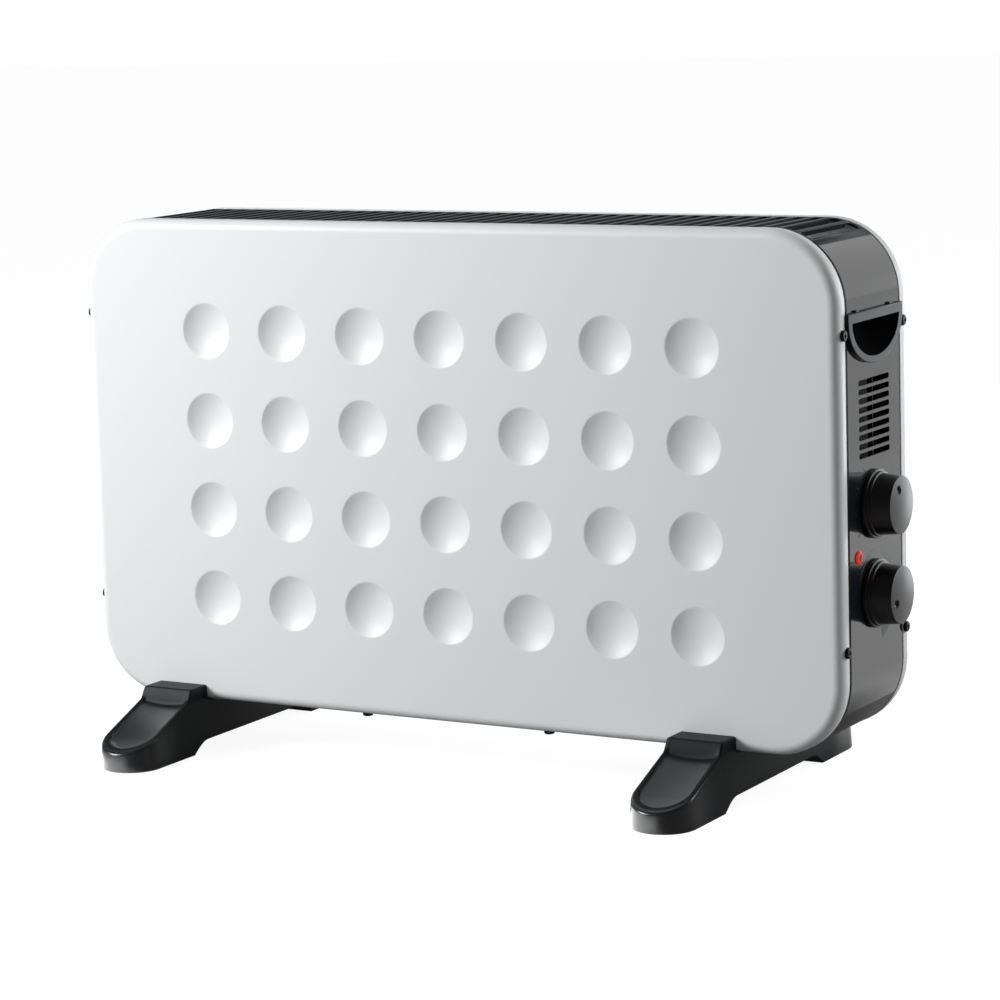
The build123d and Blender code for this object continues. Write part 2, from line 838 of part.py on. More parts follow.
def switch_cover():
    """Inner cover of the switch, with its terminal slots."""
    x_high = ring_inner_x - switch_depth
    x_low = x_high - switch_cover_sheet
    half = switch_side / 2
    cover = span_box((x_low, -half, selector_z - half), (x_high, half, selector_z + half))
    slots = [blade(x_low - 1, x_high + 1, y, z, blade_fit) for y, z in blade_places()]
    return cover - slots


def switch_terminals():
    """Brass blades that reach from outside the cover to the rotor."""
    x_cover = ring_inner_x - switch_depth - switch_cover_sheet
    x_rotor = rotor_span()[0] - blade_fit
    return Compound([blade(x_cover - blade_reach, x_rotor, y, z, 0) for y, z in blade_places()])


def selector_rotor():
    """Cam disc of the switch, notched at each switch position."""
    x_low, x_high = rotor_span()
    disc = round_x(rotor_radius, x_low, x_high, 0, selector_z)
    disc = disc - round_x(shaft_radius + hub_fit, x_low - 1, x_high + 1, 0, selector_z)
    for i in range(rotor_notches):
        angle = radians(i * 360 / rotor_notches)
        y = rotor_radius * cos(angle)
        z = selector_z + rotor_radius * sin(angle)
        disc = disc - round_x(rotor_notch_radius, x_low, x_low + rotor_notch_depth, y, z)
    return disc


def selector_shaft():
    """Shaft from the switch rotor to the selector knob."""
    return shaft(rotor_span()[0], selector_z, selector_pointer_angle)


def thermostat_frame():
    """Steel channel of the thermostat, with its neck through the side plate."""
    half_w = thermo_frame_width / 2
    half_h = thermo_frame_half_height
    x_web = ring_inner_x - thermo_frame_sheet
    x_low = ring_inner_x - thermo_frame_depth
    z = thermostat_z
    frame = span_box((x_web, -half_w, z - half_h), (ring_inner_x, half_w, z + half_h))
    for side in (-1, 1):
        z_out = z + side * half_h
        z_in = z_out - side * thermo_frame_sheet
        low = (x_low, -half_w, min(z_in, z_out))
        frame = frame + span_box(low, (ring_inner_x, half_w, max(z_in, z_out)))
    frame = frame + round_x(neck_radius, ring_inner_x - thermo_neck_depth, ring_outer_x, 0, z)
    frame = frame - round_x(shaft_radius + running_fit, x_low, half_width, 0, z)
    for side in (-1, 1):
        z_screw = z + side * control_screw_offset
        frame = frame - round_x(screw_shank_radius + screw_fit, x_web - 1, half_width, 0, z_screw)
    return frame


def thermostat_base():
    """Ceramic block that closes the thermostat's channel and carries its contacts."""
    x_high = ring_inner_x - thermo_frame_depth
    half_w = thermo_frame_width / 2
    z = thermostat_z
    half_h = thermo_frame_half_height
    low = (x_high - thermo_base_depth, -half_w, z - half_h)
    return span_box(low, (x_high, half_w, z + half_h))


def spindle_tip_x():
    """Inner end of the thermostat spindle."""
    return ring_inner_x - spindle_reach_in


def thermostat_bimetal():
    """Bimetal strip in front of the spindle's tip, on its own foot."""
    x_high = spindle_tip_x() - bimetal_gap
    x_low = x_high - bimetal_sheet
    z = thermostat_z
    half_h = thermo_frame_half_height - thermo_frame_sheet
    half_w = bimetal_half_width
    strip = span_box((x_low, -half_w, z - half_h), (x_high, half_w, z + half_h - bimetal_free))
    foot_low = (x_low - bimetal_foot, -half_w, z - half_h)
    return strip + span_box(foot_low, (x_high, half_w, z - half_h + bimetal_sheet))


def thermostat_contacts():
    """Two sprung contact leaves on posts, with their terminal tails behind the base."""
    x_base = ring_inner_x - thermo_frame_depth
    x_back = x_base - thermo_base_depth
    z = thermostat_z
    solids = []
    half_w = contact_half_width
    for side, x_leaf in ((1, x_base + contact_near), (-1, x_base + contact_far)):
        z_post = z + side * (thermo_frame_half_height - contact_post_inset)
        post = round_x(contact_post_radius, x_base, x_leaf, 0, z_post)
        z_ends = (z_post + side * contact_post_radius, z - side * contact_overrun)
        low = (x_leaf, -half_w, min(z_ends))
        leaf = span_box(low, (x_leaf + contact_sheet, half_w, max(z_ends)))
        tail = blade(x_back - blade_reach, x_back, 0, z_post, 0)
        solids += [post + leaf, tail]
    return Compound(solids)


def thermostat_spindle():
    """Spindle from the thermostat knob to the bimetal strip."""
    return shaft(spindle_tip_x(), thermostat_z, thermostat_pointer_angle)


def control_screws():
    """Screws that hold the switch and the thermostat, hidden under the knobs."""
    length = control_screw_length
    screw = pan_screw(screw_head_radius, screw_head_height, screw_shank_radius, length)
    solids = []
    for z in (selector_z, thermostat_z):
        for side in (-1, 1):
            z_screw = z + side * control_screw_offset
            solids.append(Pos(ring_outer_x, 0, z_screw) * Rot(0, 90, 0) * screw)
    return Compound(solids)


def indicator_lens():
    """Red lens with its stem through the side plate."""
    head = round_x(lens_radius, ring_outer_x, ring_outer_x + lens_rise, lamp_y, lamp_z)
    head = fillet(head.faces().sort_by(Axis.X)[-1].edges(), lens_round)
    return head + round_x(lens_stem_radius, ring_outer_x - lens_stem, ring_outer_x, lamp_y, lamp_z)


def indicator_lamp():
    """Neon lamp in its sleeve, behind the lens."""
    x_high = ring_outer_x - lens_stem
    x_low = x_high - lamp_body_length
    sleeve = round_x(lamp_body_radius, x_low, x_high, lamp_y, lamp_z)
    sleeve = sleeve - round_x(lens_stem_radius, x_high - lamp_window, x_high, lamp_y, lamp_z)
    bulb_end = x_high - lamp_bulb_gap
    sleeve = sleeve + round_x(lamp_bulb_radius, x_high - lamp_window, bulb_end, lamp_y, lamp_z)
    collar = round_x(lamp_body_radius, x_high, ring_inner_x, lamp_y, lamp_z)
    collar = collar - round_x(lens_stem_radius + running_fit, x_high, ring_inner_x, lamp_y, lamp_z)
    return sleeve + collar


def wire_levels():
    """Heights of the straight runs of a heating wire."""
    return [wire_bottom_z + i * wire_run_spacing for i in range(wire_runs)]


def terminal_places():
    """Y and Z of the pins that the heating wires end on."""
    levels = (wire_levels()[0], wire_levels()[-1])
    return [(y, z) for y in (-wire_y, wire_y) for z in levels]


def lead_hole():
    """Height of the hole that the cut-out's leads take through the partition."""
    return element_high_z + lead_hole_rise


def partition_plate():
    """Steel wall between the heating chamber and the controls, with a foot on the floor plate."""
    half = partition_half_depth
    low = (partition_x, -half, ring_floor)
    plate = span_box(low, (partition_face_x, half, partition_top_z))
    flange_x = partition_x + partition_flange
    foot_high = (flange_x, partition_foot_y, ring_floor + partition_sheet)
    plate = plate + span_box((partition_x, -half, ring_floor), foot_high)
    for y, z in terminal_places():
        plate = plate - round_x(insulator_radius + insulator_fit, partition_x - 1, flange_x, y, z)
    plate = plate - round_x(lead_hole_radius, partition_x - 1, flange_x, 0, lead_hole())
    return plate - round_x(screw_shank_radius + screw_fit, partition_x - 1, flange_x, earth_y, earth_z)


def heat_reflector():
    """Bright sheet that keeps the heat off the rear panel, with a foot on the floor plate."""
    x_high = partition_x - reflector_partition_gap
    y_back = reflector_y + reflector_sheet
    sheet = span_box((reflector_left_x, reflector_y, ring_floor), (x_high, y_back, reflector_top_z))
    foot_low = (reflector_left_x, reflector_y - reflector_flange, ring_floor)
    sheet = sheet + span_box(foot_low, (x_high, y_back, ring_floor + reflector_sheet))
    nuts = [
        round_z(foot_nut_across, ring_floor, ring_floor + foot_nut_height + foot_nut_room, x, y)
        for x, y in foot_screw_places()
    ]
    return sheet - nuts


def element_span():
    """Ends of the heating element's frame across the width."""
    return element_left_x, partition_x - element_end_gap


def board_positions():
    """Middles of the insulating boards that carry the heating wires."""
    x_low, x_high = element_span()
    first = x_low + board_end_margin
    last = x_high - board_end_margin
    return [first + i * (last - first) / (board_count - 1) for i in range(board_count)]


def element_frame():
    """Steel cradle of the heating element: two end plates on feet and four long rails."""
    x_low, x_high = element_span()
    half = element_half_depth
    solids = []
    for x, inward in ((x_low, 1), (x_high, -1)):
        x_in = x + inward * element_sheet
        low = (min(x, x_in), -half, ring_floor)
        solids.append(span_box(low, (max(x, x_in), half, element_high_z)))
        x_foot = x + inward * element_foot_reach
        low = (min(x, x_foot), -half, ring_floor)
        high = (max(x, x_foot), -half + element_foot_width, ring_floor + element_sheet)
        solids.append(span_box(low, high))
    for y in (-half, half - element_sheet):
        for z in (element_low_z, element_high_z - element_rail_height):
            solids.append(span_box((x_low, y, z), (x_high, y + element_sheet, z + element_rail_height)))
    frame = join(solids)
    for y, z in terminal_places():
        hole = insulator_radius + insulator_fit
        frame = frame - round_x(hole, x_high - 2 * element_sheet, x_high + 1, y, z)
    earth_hole = screw_shank_radius + screw_fit
    frame = frame - round_x(earth_hole, x_high - 2 * element_sheet, x_high + 1, earth_y, earth_z)
    for x, y in foot_screw_places():
        z_high = ring_floor + foot_nut_height + foot_nut_room
        frame = frame - round_z(foot_nut_across, ring_floor, z_high, x, y)
    return frame


def element_boards():
    """Mica boards between the rails, drilled for the heating wires."""
    half = element_half_depth - element_sheet - board_gap
    holes = [(y, z) for y in (-wire_y, wire_y) for z in wire_levels()]
    solids = []
    for x in board_positions():
        x_high = x + board_sheet / 2
        x_low = x - board_sheet / 2
        low = (x_low, -half, element_low_z - board_drop)
        board = span_box(low, (x_high, half, element_high_z - board_drop))
        for y, z in holes:
            board = board - round_x(wire_radius + wire_fit, x_low - 1, x_high + 1, y, z)
        solids.append(board)
    return Compound(solids)


def wire_end_x():
    """Where the heating wires meet the terminal pins."""
    return element_span()[1] - element_sheet - insulator_flange - wire_end_gap


def heating_wire(y):
    """One heating circuit: a coiled wire strung back and forth through the boards."""
    left = board_positions()[0] - wire_turn_overhang
    right = board_positions()[-1] + wire_turn_overhang
    x_end = wire_end_x()
    levels = wire_levels()
    bend = wire_run_spacing / 2
    lines = [Line((x_end, levels[0]), (left, levels[0]))]
    for i in range(len(levels) - 1):
        low, high = levels[i], levels[i + 1]
        x, side = (left, -1) if i % 2 == 0 else (right, 1)
        lines.append(ThreePointArc((x, low), (x + side * bend, (low + high) / 2), (x, high)))
        last = i == len(levels) - 2
        x_next = x_end if last else (right if side < 0 else left)
        lines.append(Line((x, high), (x_next, high)))
    path = Pos(0, y, 0) * (Plane.XZ * Wire(lines))
    start = Pos(x_end, y, levels[0]) * Rot(0, 90, 0) * Circle(wire_radius)
    return sweep(start, path=path)


def terminal_pins():
    """Pins that carry the current from the leads to the heating wires."""
    x_end = partition_face_x + terminal_pin_reach
    pins = [round_x(terminal_pin_radius, wire_end_x(), x_end, y, z) for y, z in terminal_places()]
    return Compound(pins)


def terminal_insulators():
    """Ceramic bushes of the pins, seated in the partition and the element's end plate."""
    x_face = element_span()[1] - element_sheet
    solids = []
    for y, z in terminal_places():
        bush = round_x(insulator_radius, x_face, partition_face_x + insulator_reach, y, z)
        bush = bush + round_x(insulator_flange_radius, x_face - insulator_flange, x_face, y, z)
        bore = terminal_pin_radius + terminal_fit
        solids.append(bush - round_x(bore, wire_end_x(), partition_face_x + terminal_pin_reach, y, z))
    return Compound(solids)


def cutout_z():
    """Height of the overheat cut-out's middle."""
    return element_high_z + cutout_bracket_rise - cutout_radius - cutout_top_margin


def cutout_bracket():
    """Upright strip on the element's front rail that carries the overheat cut-out."""
    y_high = -element_half_depth
    y_low = y_high - element_sheet
    half = cutout_bracket_width / 2
    low = (cutout_x - half, y_low, element_high_z - element_rail_height)
    return span_box(low, (cutout_x + half, y_high, element_high_z + cutout_bracket_rise))


def thermal_cutout():
    """Overheat cut-out: a round snap-disc switch with two terminal tabs."""
    y_low = -element_half_depth
    y_high = y_low + cutout_height
    z = cutout_z()
    body = round_y(cutout_radius, y_low, y_high, cutout_x, z)
    body = fillet(body.faces().sort_by(Axis.Y)[-1].edges(), 1.0)
    for side in (-1, 1):
        x_out = cutout_x + side * (cutout_radius + cutout_tab)
        y_tab = y_low + cutout_tab_level
        half = cutout_tab_height / 2
        low = (min(cutout_x, x_out), y_tab, z - half)
        body = body + span_box(low, (max(cutout_x, x_out), y_tab + blade_sheet, z + half))
    return body


def terminal_block():
    """Moulded connector block for the mains, on the control side of the partition."""
    half = block_length / 2
    x_high = partition_face_x + block_depth
    low = (partition_face_x, -half, block_z - block_height / 2)
    block = span_box(low, (x_high, half, block_z + block_height / 2))
    step = block_length / block_ways
    for i in range(block_ways):
        y = (i - (block_ways - 1) / 2) * step
        x = partition_face_x + block_depth / 2
        block = block - round_z(block_bore_radius, block_z - block_height, block_z + block_height, x, y)
        screw_way = round_x(block_bore_radius, x, x_high + 1, y, block_z + block_height / 4)
        block = block - screw_way
    return block


def earth_screw():
    """Earth screw with its washer, on the partition."""
    washer_x = partition_face_x + earth_washer_sheet
    washer = round_x(earth_washer_radius, partition_face_x, washer_x, earth_y, earth_z)
    screw = pan_screw(screw_head_radius, screw_head_height, screw_shank_radius, screw_length)
    return washer + Pos(washer_x, earth_y, earth_z) * Rot(0, 90, 0) * screw


def cord_gland():
    """Grommet that the mains cord enters through, snapped into the floor plate."""
    low = ring_bottom - gland_drop
    high = ring_floor + gland_rise
    body = round_z(gland_neck_radius, low, high, gland_x, gland_y)
    flange_low = ring_bottom - gland_flange
    body = body + round_z(gland_flange_radius, flange_low, ring_bottom, gland_x, gland_y)
    body = body + round_z(gland_neck_radius + gland_lip, ring_floor, high, gland_x, gland_y)
    return body - round_z(gland_bore_radius, low - 1, high + 1, gland_x, gland_y)


def clamp_base():
    """Lower half of the cord clamp, on the floor plate."""
    half = clamp_length / 2
    x_low = gland_x - clamp_width / 2
    z_high = ring_floor + clamp_base_height
    low = (x_low, clamp_y - half, ring_floor)
    base = span_box(low, (x_low + clamp_width, clamp_y + half, z_high))
    groove = round_x(clamp_groove_radius, x_low - 1, x_low + clamp_width + 1, clamp_y, z_high)
    return base - groove - clamp_holes()


def clamp_holes():
    """Holes of the cord clamp's screws."""
    radius = screw_shank_radius + screw_fit
    places = (clamp_y - clamp_screw_offset, clamp_y + clamp_screw_offset)
    z_low = ring_floor + clamp_screw_floor
    z_high = ring_floor + clamp_base_height + 2 * clamp_bar_height
    return [round_z(radius, z_low, z_high, gland_x, y) for y in places]


def clamp_bar():
    """Upper half of the cord clamp."""
    half = clamp_length / 2
    x_low = gland_x - clamp_width / 2
    z_low = ring_floor + clamp_base_height
    low = (x_low, clamp_y - half, z_low)
    bar = span_box(low, (x_low + clamp_width, clamp_y + half, z_low + clamp_bar_height))
    groove = round_x(clamp_bar_groove_radius, x_low - 1, x_low + clamp_width + 1, clamp_y, z_low)
    return bar - groove - clamp_holes()


def clamp_screws():
    """Two screws of the cord clamp."""
    z = ring_floor + clamp_base_height + clamp_bar_height
    length = clamp_base_height + clamp_bar_height - 2 * clamp_screw_floor
    screw = pan_screw(screw_head_radius, screw_head_height, screw_shank_radius, length)
    places = (clamp_y - clamp_screw_offset, clamp_y + clamp_screw_offset)
    return Compound([Pos(gland_x, y, z) * screw for y in places])


def lead(points):
    """One insulated lead along straight runs with rounded corners."""
    path = FilletPolyline(*points, radius=lead_bend)
    start = Plane(origin=path @ 0, z_dir=path % 0) * Circle(lead_radius)
    return sweep(start, path=path)


def pin_ends():
    """Outer ends of the terminal pins: lower pair, then upper pair, front one first."""
    x = partition_face_x + terminal_pin_reach
    low, high = wire_levels()[0], wire_levels()[-1]
    return [(x, y, z) for z in (low, high) for y in (-wire_y, wire_y)]


def switch_ends():
    """Outer ends of the switch blades: upper rear, upper front, lower front, lower rear."""
    x = ring_inner_x - switch_depth - switch_cover_sheet - blade_reach
    return [(x, y, z) for y, z in blade_places()]


def thermostat_ends():
    """Outer ends of the thermostat's tails: lower, then upper."""
    x = ring_inner_x - thermo_frame_depth - thermo_base_depth - blade_reach
    drop = thermo_frame_half_height - contact_post_inset
    return (x, 0, thermostat_z - drop), (x, 0, thermostat_z + drop)


def block_way(number, z):
    """Place on the axis of one way of the terminal block, front way first."""
    y = (number - (block_ways - 1) / 2) * block_length / block_ways
    return (partition_face_x + block_depth / 2, y, z)


def control_leads():
    """Leads between the terminal block, the controls, the lamp and the terminal pins."""
    pin_low_front, pin_low_rear, pin_high_front, pin_high_rear = pin_ends()
    upper_rear, upper_front, lower_front, lower_rear = switch_ends()
    block_low = block_z - block_height / 2
    block_high = block_z + block_height / 2
    solids = [lead([
        block_way(1, block_low),
        block_way(1, block_low - lead_drop),
        (near_lane_x, neutral_lane_y, block_low - lead_drop - lead_slant),
        (near_lane_x, neutral_lane_y, pin_low_front[2] + lead_slant),
        (near_lane_x, -wire_y, pin_low_front[2]),
        pin_low_front,
    ])]
    bridge_x = pin_low_front[0] - 2 * terminal_pin_radius
    bridge_y = wire_y - terminal_pin_radius
    solids.append(round_y(lead_radius, -bridge_y, bridge_y, bridge_x, pin_low_front[2]))
    for blade_end, pin in ((lower_front, pin_high_front), (lower_rear, pin_high_rear)):
        lane = far_lane_x - lead_bend
        solids.append(lead([
            blade_end,
            (lane, blade_end[1], blade_end[2]),
            (lane, pin[1], blade_end[2] - lead_slant),
            (lane, pin[1], pin[2]),
            pin,
        ]))
    tail = thermostat_ends()[1]
    solids.append(lead([
        upper_rear,
        (far_lane_x, upper_rear[1], upper_rear[2]),
        (far_lane_x, 0, upper_rear[2] - lead_slant),
        (far_lane_x, 0, tail[2]),
        tail,
    ]))
    lamp_x = ring_outer_x - lens_stem - lamp_body_length
    solids.append(lead([
        (lamp_x, lamp_y + lead_pair_offset, lamp_z + lead_pair_offset),
        (upper_front[0], lamp_y + lead_pair_offset, lamp_z + lead_pair_offset),
        (far_lane_x, lamp_y + lead_pair_offset, upper_front[2] - lead_slant),
        (far_lane_x, upper_front[1], upper_front[2]),
        upper_front,
    ]))
    solids.append(lead([
        block_way(1, block_high),
        block_way(1, block_high + lead_drop),
        (upper_front[0], lamp_lane_y, block_high + lead_drop),
        (upper_front[0], lamp_lane_y, lamp_z - lead_pair_offset),
        (lamp_x, lamp_lane_y, lamp_z - lead_pair_offset),
    ]))
    return Compound(solids)


def cutout_leads():
    """Leads of the overheat cut-out, through the partition to the mains and the thermostat."""
    y_tab = -element_half_depth + cutout_tab_level + blade_sheet / 2
    z_tab = cutout_z()
    tab_reach = cutout_radius + cutout_tab
    z_hole = lead_hole()
    x_inside = partition_x - lead_slant
    tail = thermostat_ends()[0]
    to_thermostat = lead([
        tail,
        (middle_lane_x, 0, tail[2]),
        (middle_lane_x, 0, z_hole - lead_pair_offset),
        (x_inside, 0, z_hole - lead_pair_offset),
        (cutout_x + 2 * tab_reach, y_tab, z_tab),
        (cutout_x + tab_reach, y_tab, z_tab),
    ])
    block_low = block_z - block_height / 2
    to_mains = lead([
        block_way(0, block_low),
        block_way(0, block_low - lead_drop),
        (earth_lane_x + lead_slant, 0, z_hole + lead_pair_offset),
        (x_inside, 0, z_hole + lead_pair_offset),
        (hot_lead_x, hot_lead_y, z_tab + lead_slant),
        (hot_lead_x, y_tab, z_tab),
        (cutout_x - tab_reach, y_tab, z_tab),
    ])
    return Compound([to_thermostat, to_mains])


def earth_lead():
    """Earth lead from the terminal block to the washer of the earth screw."""
    block_low = block_z - block_height / 2
    low = earth_z + earth_washer_radius
    return lead([
        block_way(2, block_low),
        block_way(2, block_low - lead_drop),
        (earth_lane_x, earth_lane_y, block_low - lead_drop - lead_slant),
        (earth_lane_x, earth_lane_y, low + 2 * lead_bend),
        (earth_lane_x, earth_y, low + 2 * lead_bend),
        (earth_lane_x, earth_y, low),
    ])


right_cup = handle_cup()
plain_foot = foot()
nodes = {
    "front_panel": front_panel(),
    "rear_panel": rear_panel(),
    "top_grille": top_grille(),
    "bottom_plate": bottom_plate(),
    "control_side_panel": control_side_panel(),
    "left_side_panel": left_side_panel(),
    "right_handle_cup": right_cup,
    "left_handle_cup": mirror(right_cup, Plane.YZ),
    "right_foot": Pos(right_foot_x, 0, 0) * plain_foot,
    "left_foot": Pos(left_foot_x, 0, 0) * plain_foot,
    "foot_screws": foot_screws(),
    "foot_nuts": foot_nuts(),
    "front_panel_screws": rim_screws(-1),
    "rear_panel_screws": rim_screws(1),
    "selector_knob": knob(selector_z, selector_pointer_angle),
    "thermostat_knob": knob(thermostat_z, thermostat_pointer_angle),
    "selector_shaft": selector_shaft(),
    "selector_rotor": selector_rotor(),
    "switch_housing": switch_housing(),
    "switch_cover": switch_cover(),
    "switch_terminals": switch_terminals(),
    "thermostat_frame": thermostat_frame(),
    "thermostat_base": thermostat_base(),
    "thermostat_bimetal": thermostat_bimetal(),
    "thermostat_contacts": thermostat_contacts(),
    "thermostat_spindle": thermostat_spindle(),
    "control_screws": control_screws(),
    "indicator_lens": indicator_lens(),
    "indicator_lamp": indicator_lamp(),
    "partition_plate": partition_plate(),
    "heat_reflector": heat_reflector(),
    "element_frame": element_frame(),
    "element_boards": element_boards(),
    "heating_wire_low": heating_wire(-wire_y),
    "heating_wire_high": heating_wire(wire_y),
    "terminal_pins": terminal_pins(),
    "terminal_insulators": terminal_insulators(),
    "cutout_bracket": cutout_bracket(),
    "thermal_cutout": thermal_cutout(),
    "terminal_block": terminal_block(),
    "earth_screw": earth_screw(),
    "earth_lead": earth_lead(),
    "control_leads": control_leads(),
    "cutout_leads": cutout_leads(),
    "cord_gland": cord_gland(),
    "clamp_base": clamp_base(),
    "clamp_bar": clamp_bar(),
    "clamp_screws": clamp_screws(),
}
for name, shape in nodes.items():
    write(name, shape)
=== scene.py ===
import json
import math

import bmesh
import bpy
from mathutils import Matrix, Vector
from mathutils.geometry import delaunay_2d_cdt


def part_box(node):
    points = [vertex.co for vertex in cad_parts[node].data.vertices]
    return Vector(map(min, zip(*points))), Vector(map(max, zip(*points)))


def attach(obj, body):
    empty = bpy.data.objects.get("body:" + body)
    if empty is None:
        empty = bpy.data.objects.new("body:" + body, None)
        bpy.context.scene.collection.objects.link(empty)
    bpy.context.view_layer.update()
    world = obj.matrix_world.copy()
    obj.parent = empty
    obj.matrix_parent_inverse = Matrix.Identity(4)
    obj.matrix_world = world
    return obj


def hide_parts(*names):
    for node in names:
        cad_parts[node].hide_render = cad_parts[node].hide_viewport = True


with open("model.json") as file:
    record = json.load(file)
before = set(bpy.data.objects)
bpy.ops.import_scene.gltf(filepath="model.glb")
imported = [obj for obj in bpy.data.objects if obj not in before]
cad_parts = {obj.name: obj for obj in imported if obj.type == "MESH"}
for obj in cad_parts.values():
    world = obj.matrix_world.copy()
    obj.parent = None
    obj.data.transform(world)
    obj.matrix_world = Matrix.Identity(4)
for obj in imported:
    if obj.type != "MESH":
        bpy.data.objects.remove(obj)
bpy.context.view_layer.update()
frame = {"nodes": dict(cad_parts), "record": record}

MM = 0.001


def box_middle(node):
    """Middle of the box round one node of the heater."""
    low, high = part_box(node)
    return tuple((a + b) / 2 for a, b in zip(low, high))


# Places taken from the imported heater
panel_low, panel_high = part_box("front_panel")
body_x, _, body_z = box_middle("front_panel")
body_half_width = (panel_high[0] - panel_low[0]) / 2
body_half_height = (panel_high[2] - panel_low[2]) / 2
face_y = panel_low[1]
rim_y = panel_high[1]
rear_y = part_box("rear_panel")[1][1]
plate_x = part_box("control_side_panel")[1][0]
joints = {joint["name"]: joint for joint in frame["record"]["behaviour"]["joints"]}

# Distances below which points, faces and cuts count as one
SAME_POINT = 1e-6
THIN_FACE = 1e-7
SAME_CUT = 1e-8

# Front sheet
SHEET = 0.8 * MM
CORNER_RADIUS = 45.5 * MM
EDGE_ROLL = 6.0 * MM
ROLL_STEPS = 10
CORNER_STEPS = 24
DIMPLE_PITCH = 57.3 * MM
DIMPLE_COLUMNS = 7
DIMPLE_ROWS = 4
DIMPLE_RADIUS = 17.6 * MM
DIMPLE_DEPTH = 4.4 * MM
DIMPLE_DROP = 1.2 * MM
DIMPLE_LIP_RADIUS = 2.5 * MM
DIMPLE_STEPS = 56
LIP_STEPS = 5
FLAT_MARGIN = 0.7 * MM
BOWL_STEPS = 9

# Feet; places along a foot run from its middle towards the toe as negative Y
FOOT_HALF_WIDTH = 20.5 * MM
FOOT_HALF_LENGTH = 128.0 * MM
FOOT_DRAFT = math.radians(2.7)
TOE_HEIGHT = 12.0 * MM
TOE_CENTRE_Y = -FOOT_HALF_LENGTH + FOOT_HALF_WIDTH
KNEE = (-71.5 * MM, 35.5 * MM)
CLIP_BROW = (-67.3 * MM, 42.7 * MM)
CLIP_BACK_Y = -50.3 * MM
CLIP_BACK_RUN = 0.1 * MM
SADDLE_Z = 33.3 * MM
KNEE_ROUND = 5.0 * MM
BROW_ROUND = 1.8 * MM
TOP_CORNER_STEPS = 7
FOOT_EDGE_ROUND = 1.5 * MM
FOOT_EDGE_ANGLES = (0, 18, 36, 54, 72, 90)
FOOT_SOLE_ROUND = 0.8 * MM
PAD_END_Y = -69.0 * MM
ARCH_START_Y = -53.0 * MM
ARCH_HEIGHT = 7.5 * MM
WELL_Y = 30.0 * MM
WELL_RADIUS = 4.6 * MM
WELL_TOP = 28.0 * MM
WELL_STEPS = 28
SHANK_RADIUS = 2.1 * MM

# Dished tongues of the feet
DISH_BORDER = 4.0 * MM
DISH_TOE_MARGIN = 6.5 * MM
DISH_WALL = 1.3 * MM
DISH_WALL_DEPTH = 1.6 * MM
DISH_BOWL_DEPTH = 1.6 * MM
DISH_TOP_Y = -69.0 * MM
DISH_TOP_RUN = 3.0 * MM

# Rows of points on a foot: along its flank, round its toe, in from its outline, down its walls
# as shares of their height, and round its sole's edge as lift and inset
MIDDLE_ROWS = (0.0, -15.0 * MM, -25.0 * MM, -35.0 * MM)
FLANK_ROW_STEP = 2.0 * MM
LEAST_ROW_GAP = 0.08 * MM
TOE_STEPS = 14
BORDER_ROW_SHARE = 0.75
WALL_LEAD = 0.3 * MM
WALL_ROW_STEP = 0.2 * MM
WALL_ROWS = 9
WALL_RUN = 2.0 * MM
BOWL_ROWS = 9
WALL_SHARES = (0.66, 0.33)
SOLE_ARC_MIDDLE = 0.3 * FOOT_SOLE_ROUND
SOLE_EDGE = ((FOOT_SOLE_ROUND, 0.0), (SOLE_ARC_MIDDLE, SOLE_ARC_MIDDLE), (0.0, FOOT_SOLE_ROUND))

# Knobs: radius and height of each corner of the profile, with its rounding
KNOB_GAP = 0.5 * MM
KNOB_PROFILE = (
    (3.2 * MM, 0.0, 0.0),
    (20.5 * MM, 0.0, 0.3 * MM),
    (20.5 * MM, 2.4 * MM, 0.5 * MM),
    (19.3 * MM, 2.4 * MM, 0.2 * MM),
    (19.3 * MM, 4.6 * MM, 0.5 * MM),
    (18.2 * MM, 4.6 * MM, 0.4 * MM),
    (17.2 * MM, 16.75 * MM, 0.5 * MM),
    (16.4 * MM, 16.85 * MM, 0.0),
)
KNOB_HEIGHT = 18.4 * MM
KNOB_STEPS = 96
KNOB_CORNER_STEPS = 4
POINTER_DISTANCE = 11.2 * MM
POINTER_RADIUS = 2.7 * MM
POINTER_DEPTH = 1.8 * MM
POINTER_STEPS = 28
POINTER_ROWS = 9
POINTER_ANGLES = {"selector": 30.0, "thermostat": 109.0}

# Points on a knob's domed face: rings round its middle, a collar close round the pointer's
# dimple, and a space round the dimple that the rings keep clear of, both as shares of its radius
FACE_RINGS = 9
FACE_RING_POINTS = 8
POINTER_COLLAR = 1.12
POINTER_CLEARANCE = 1.25

# Indicator lens: dark middle, glowing ring
LENS_DARK_RADIUS = 1.5 * MM
LENS_GLOW_RADIUS = 3.0 * MM
LENS_DARK_GLOW = (0.05, 0.0, 0.0, 1)
LENS_FULL_GLOW = (1.0, 0.05, 0.003, 1)
LENS_STRENGTH = 0.55

# Painted shade, near black: on the seam beside the front rim, on the vents' walls below the plate's outer
# skin, and on the rear panel's inside margin, which shows through the vents
PAINTED_SHADE_COLOUR = (0.002, 0.002, 0.002, 1)
PAINTED_SHADE_ROUGHNESS = 0.7
SEAM_SHADE_WIDTH = 3.8 * MM
SHADE_EDGE_BLUR = 0.1 * MM
VENT_SKIN = 0.3 * MM
VENT_ZONE = 105.0 * MM
PAINTED_SHADE_MARGIN = (239.0 * MM, 256.0 * MM)

# Where the gloss of the feet sets in, from the heater's middle towards a toe
TONGUE_GLOSS_START = (72.0 * MM, 78.0 * MM)
TOE_GLOSS_START = (80.0 * MM, 105.0 * MM)

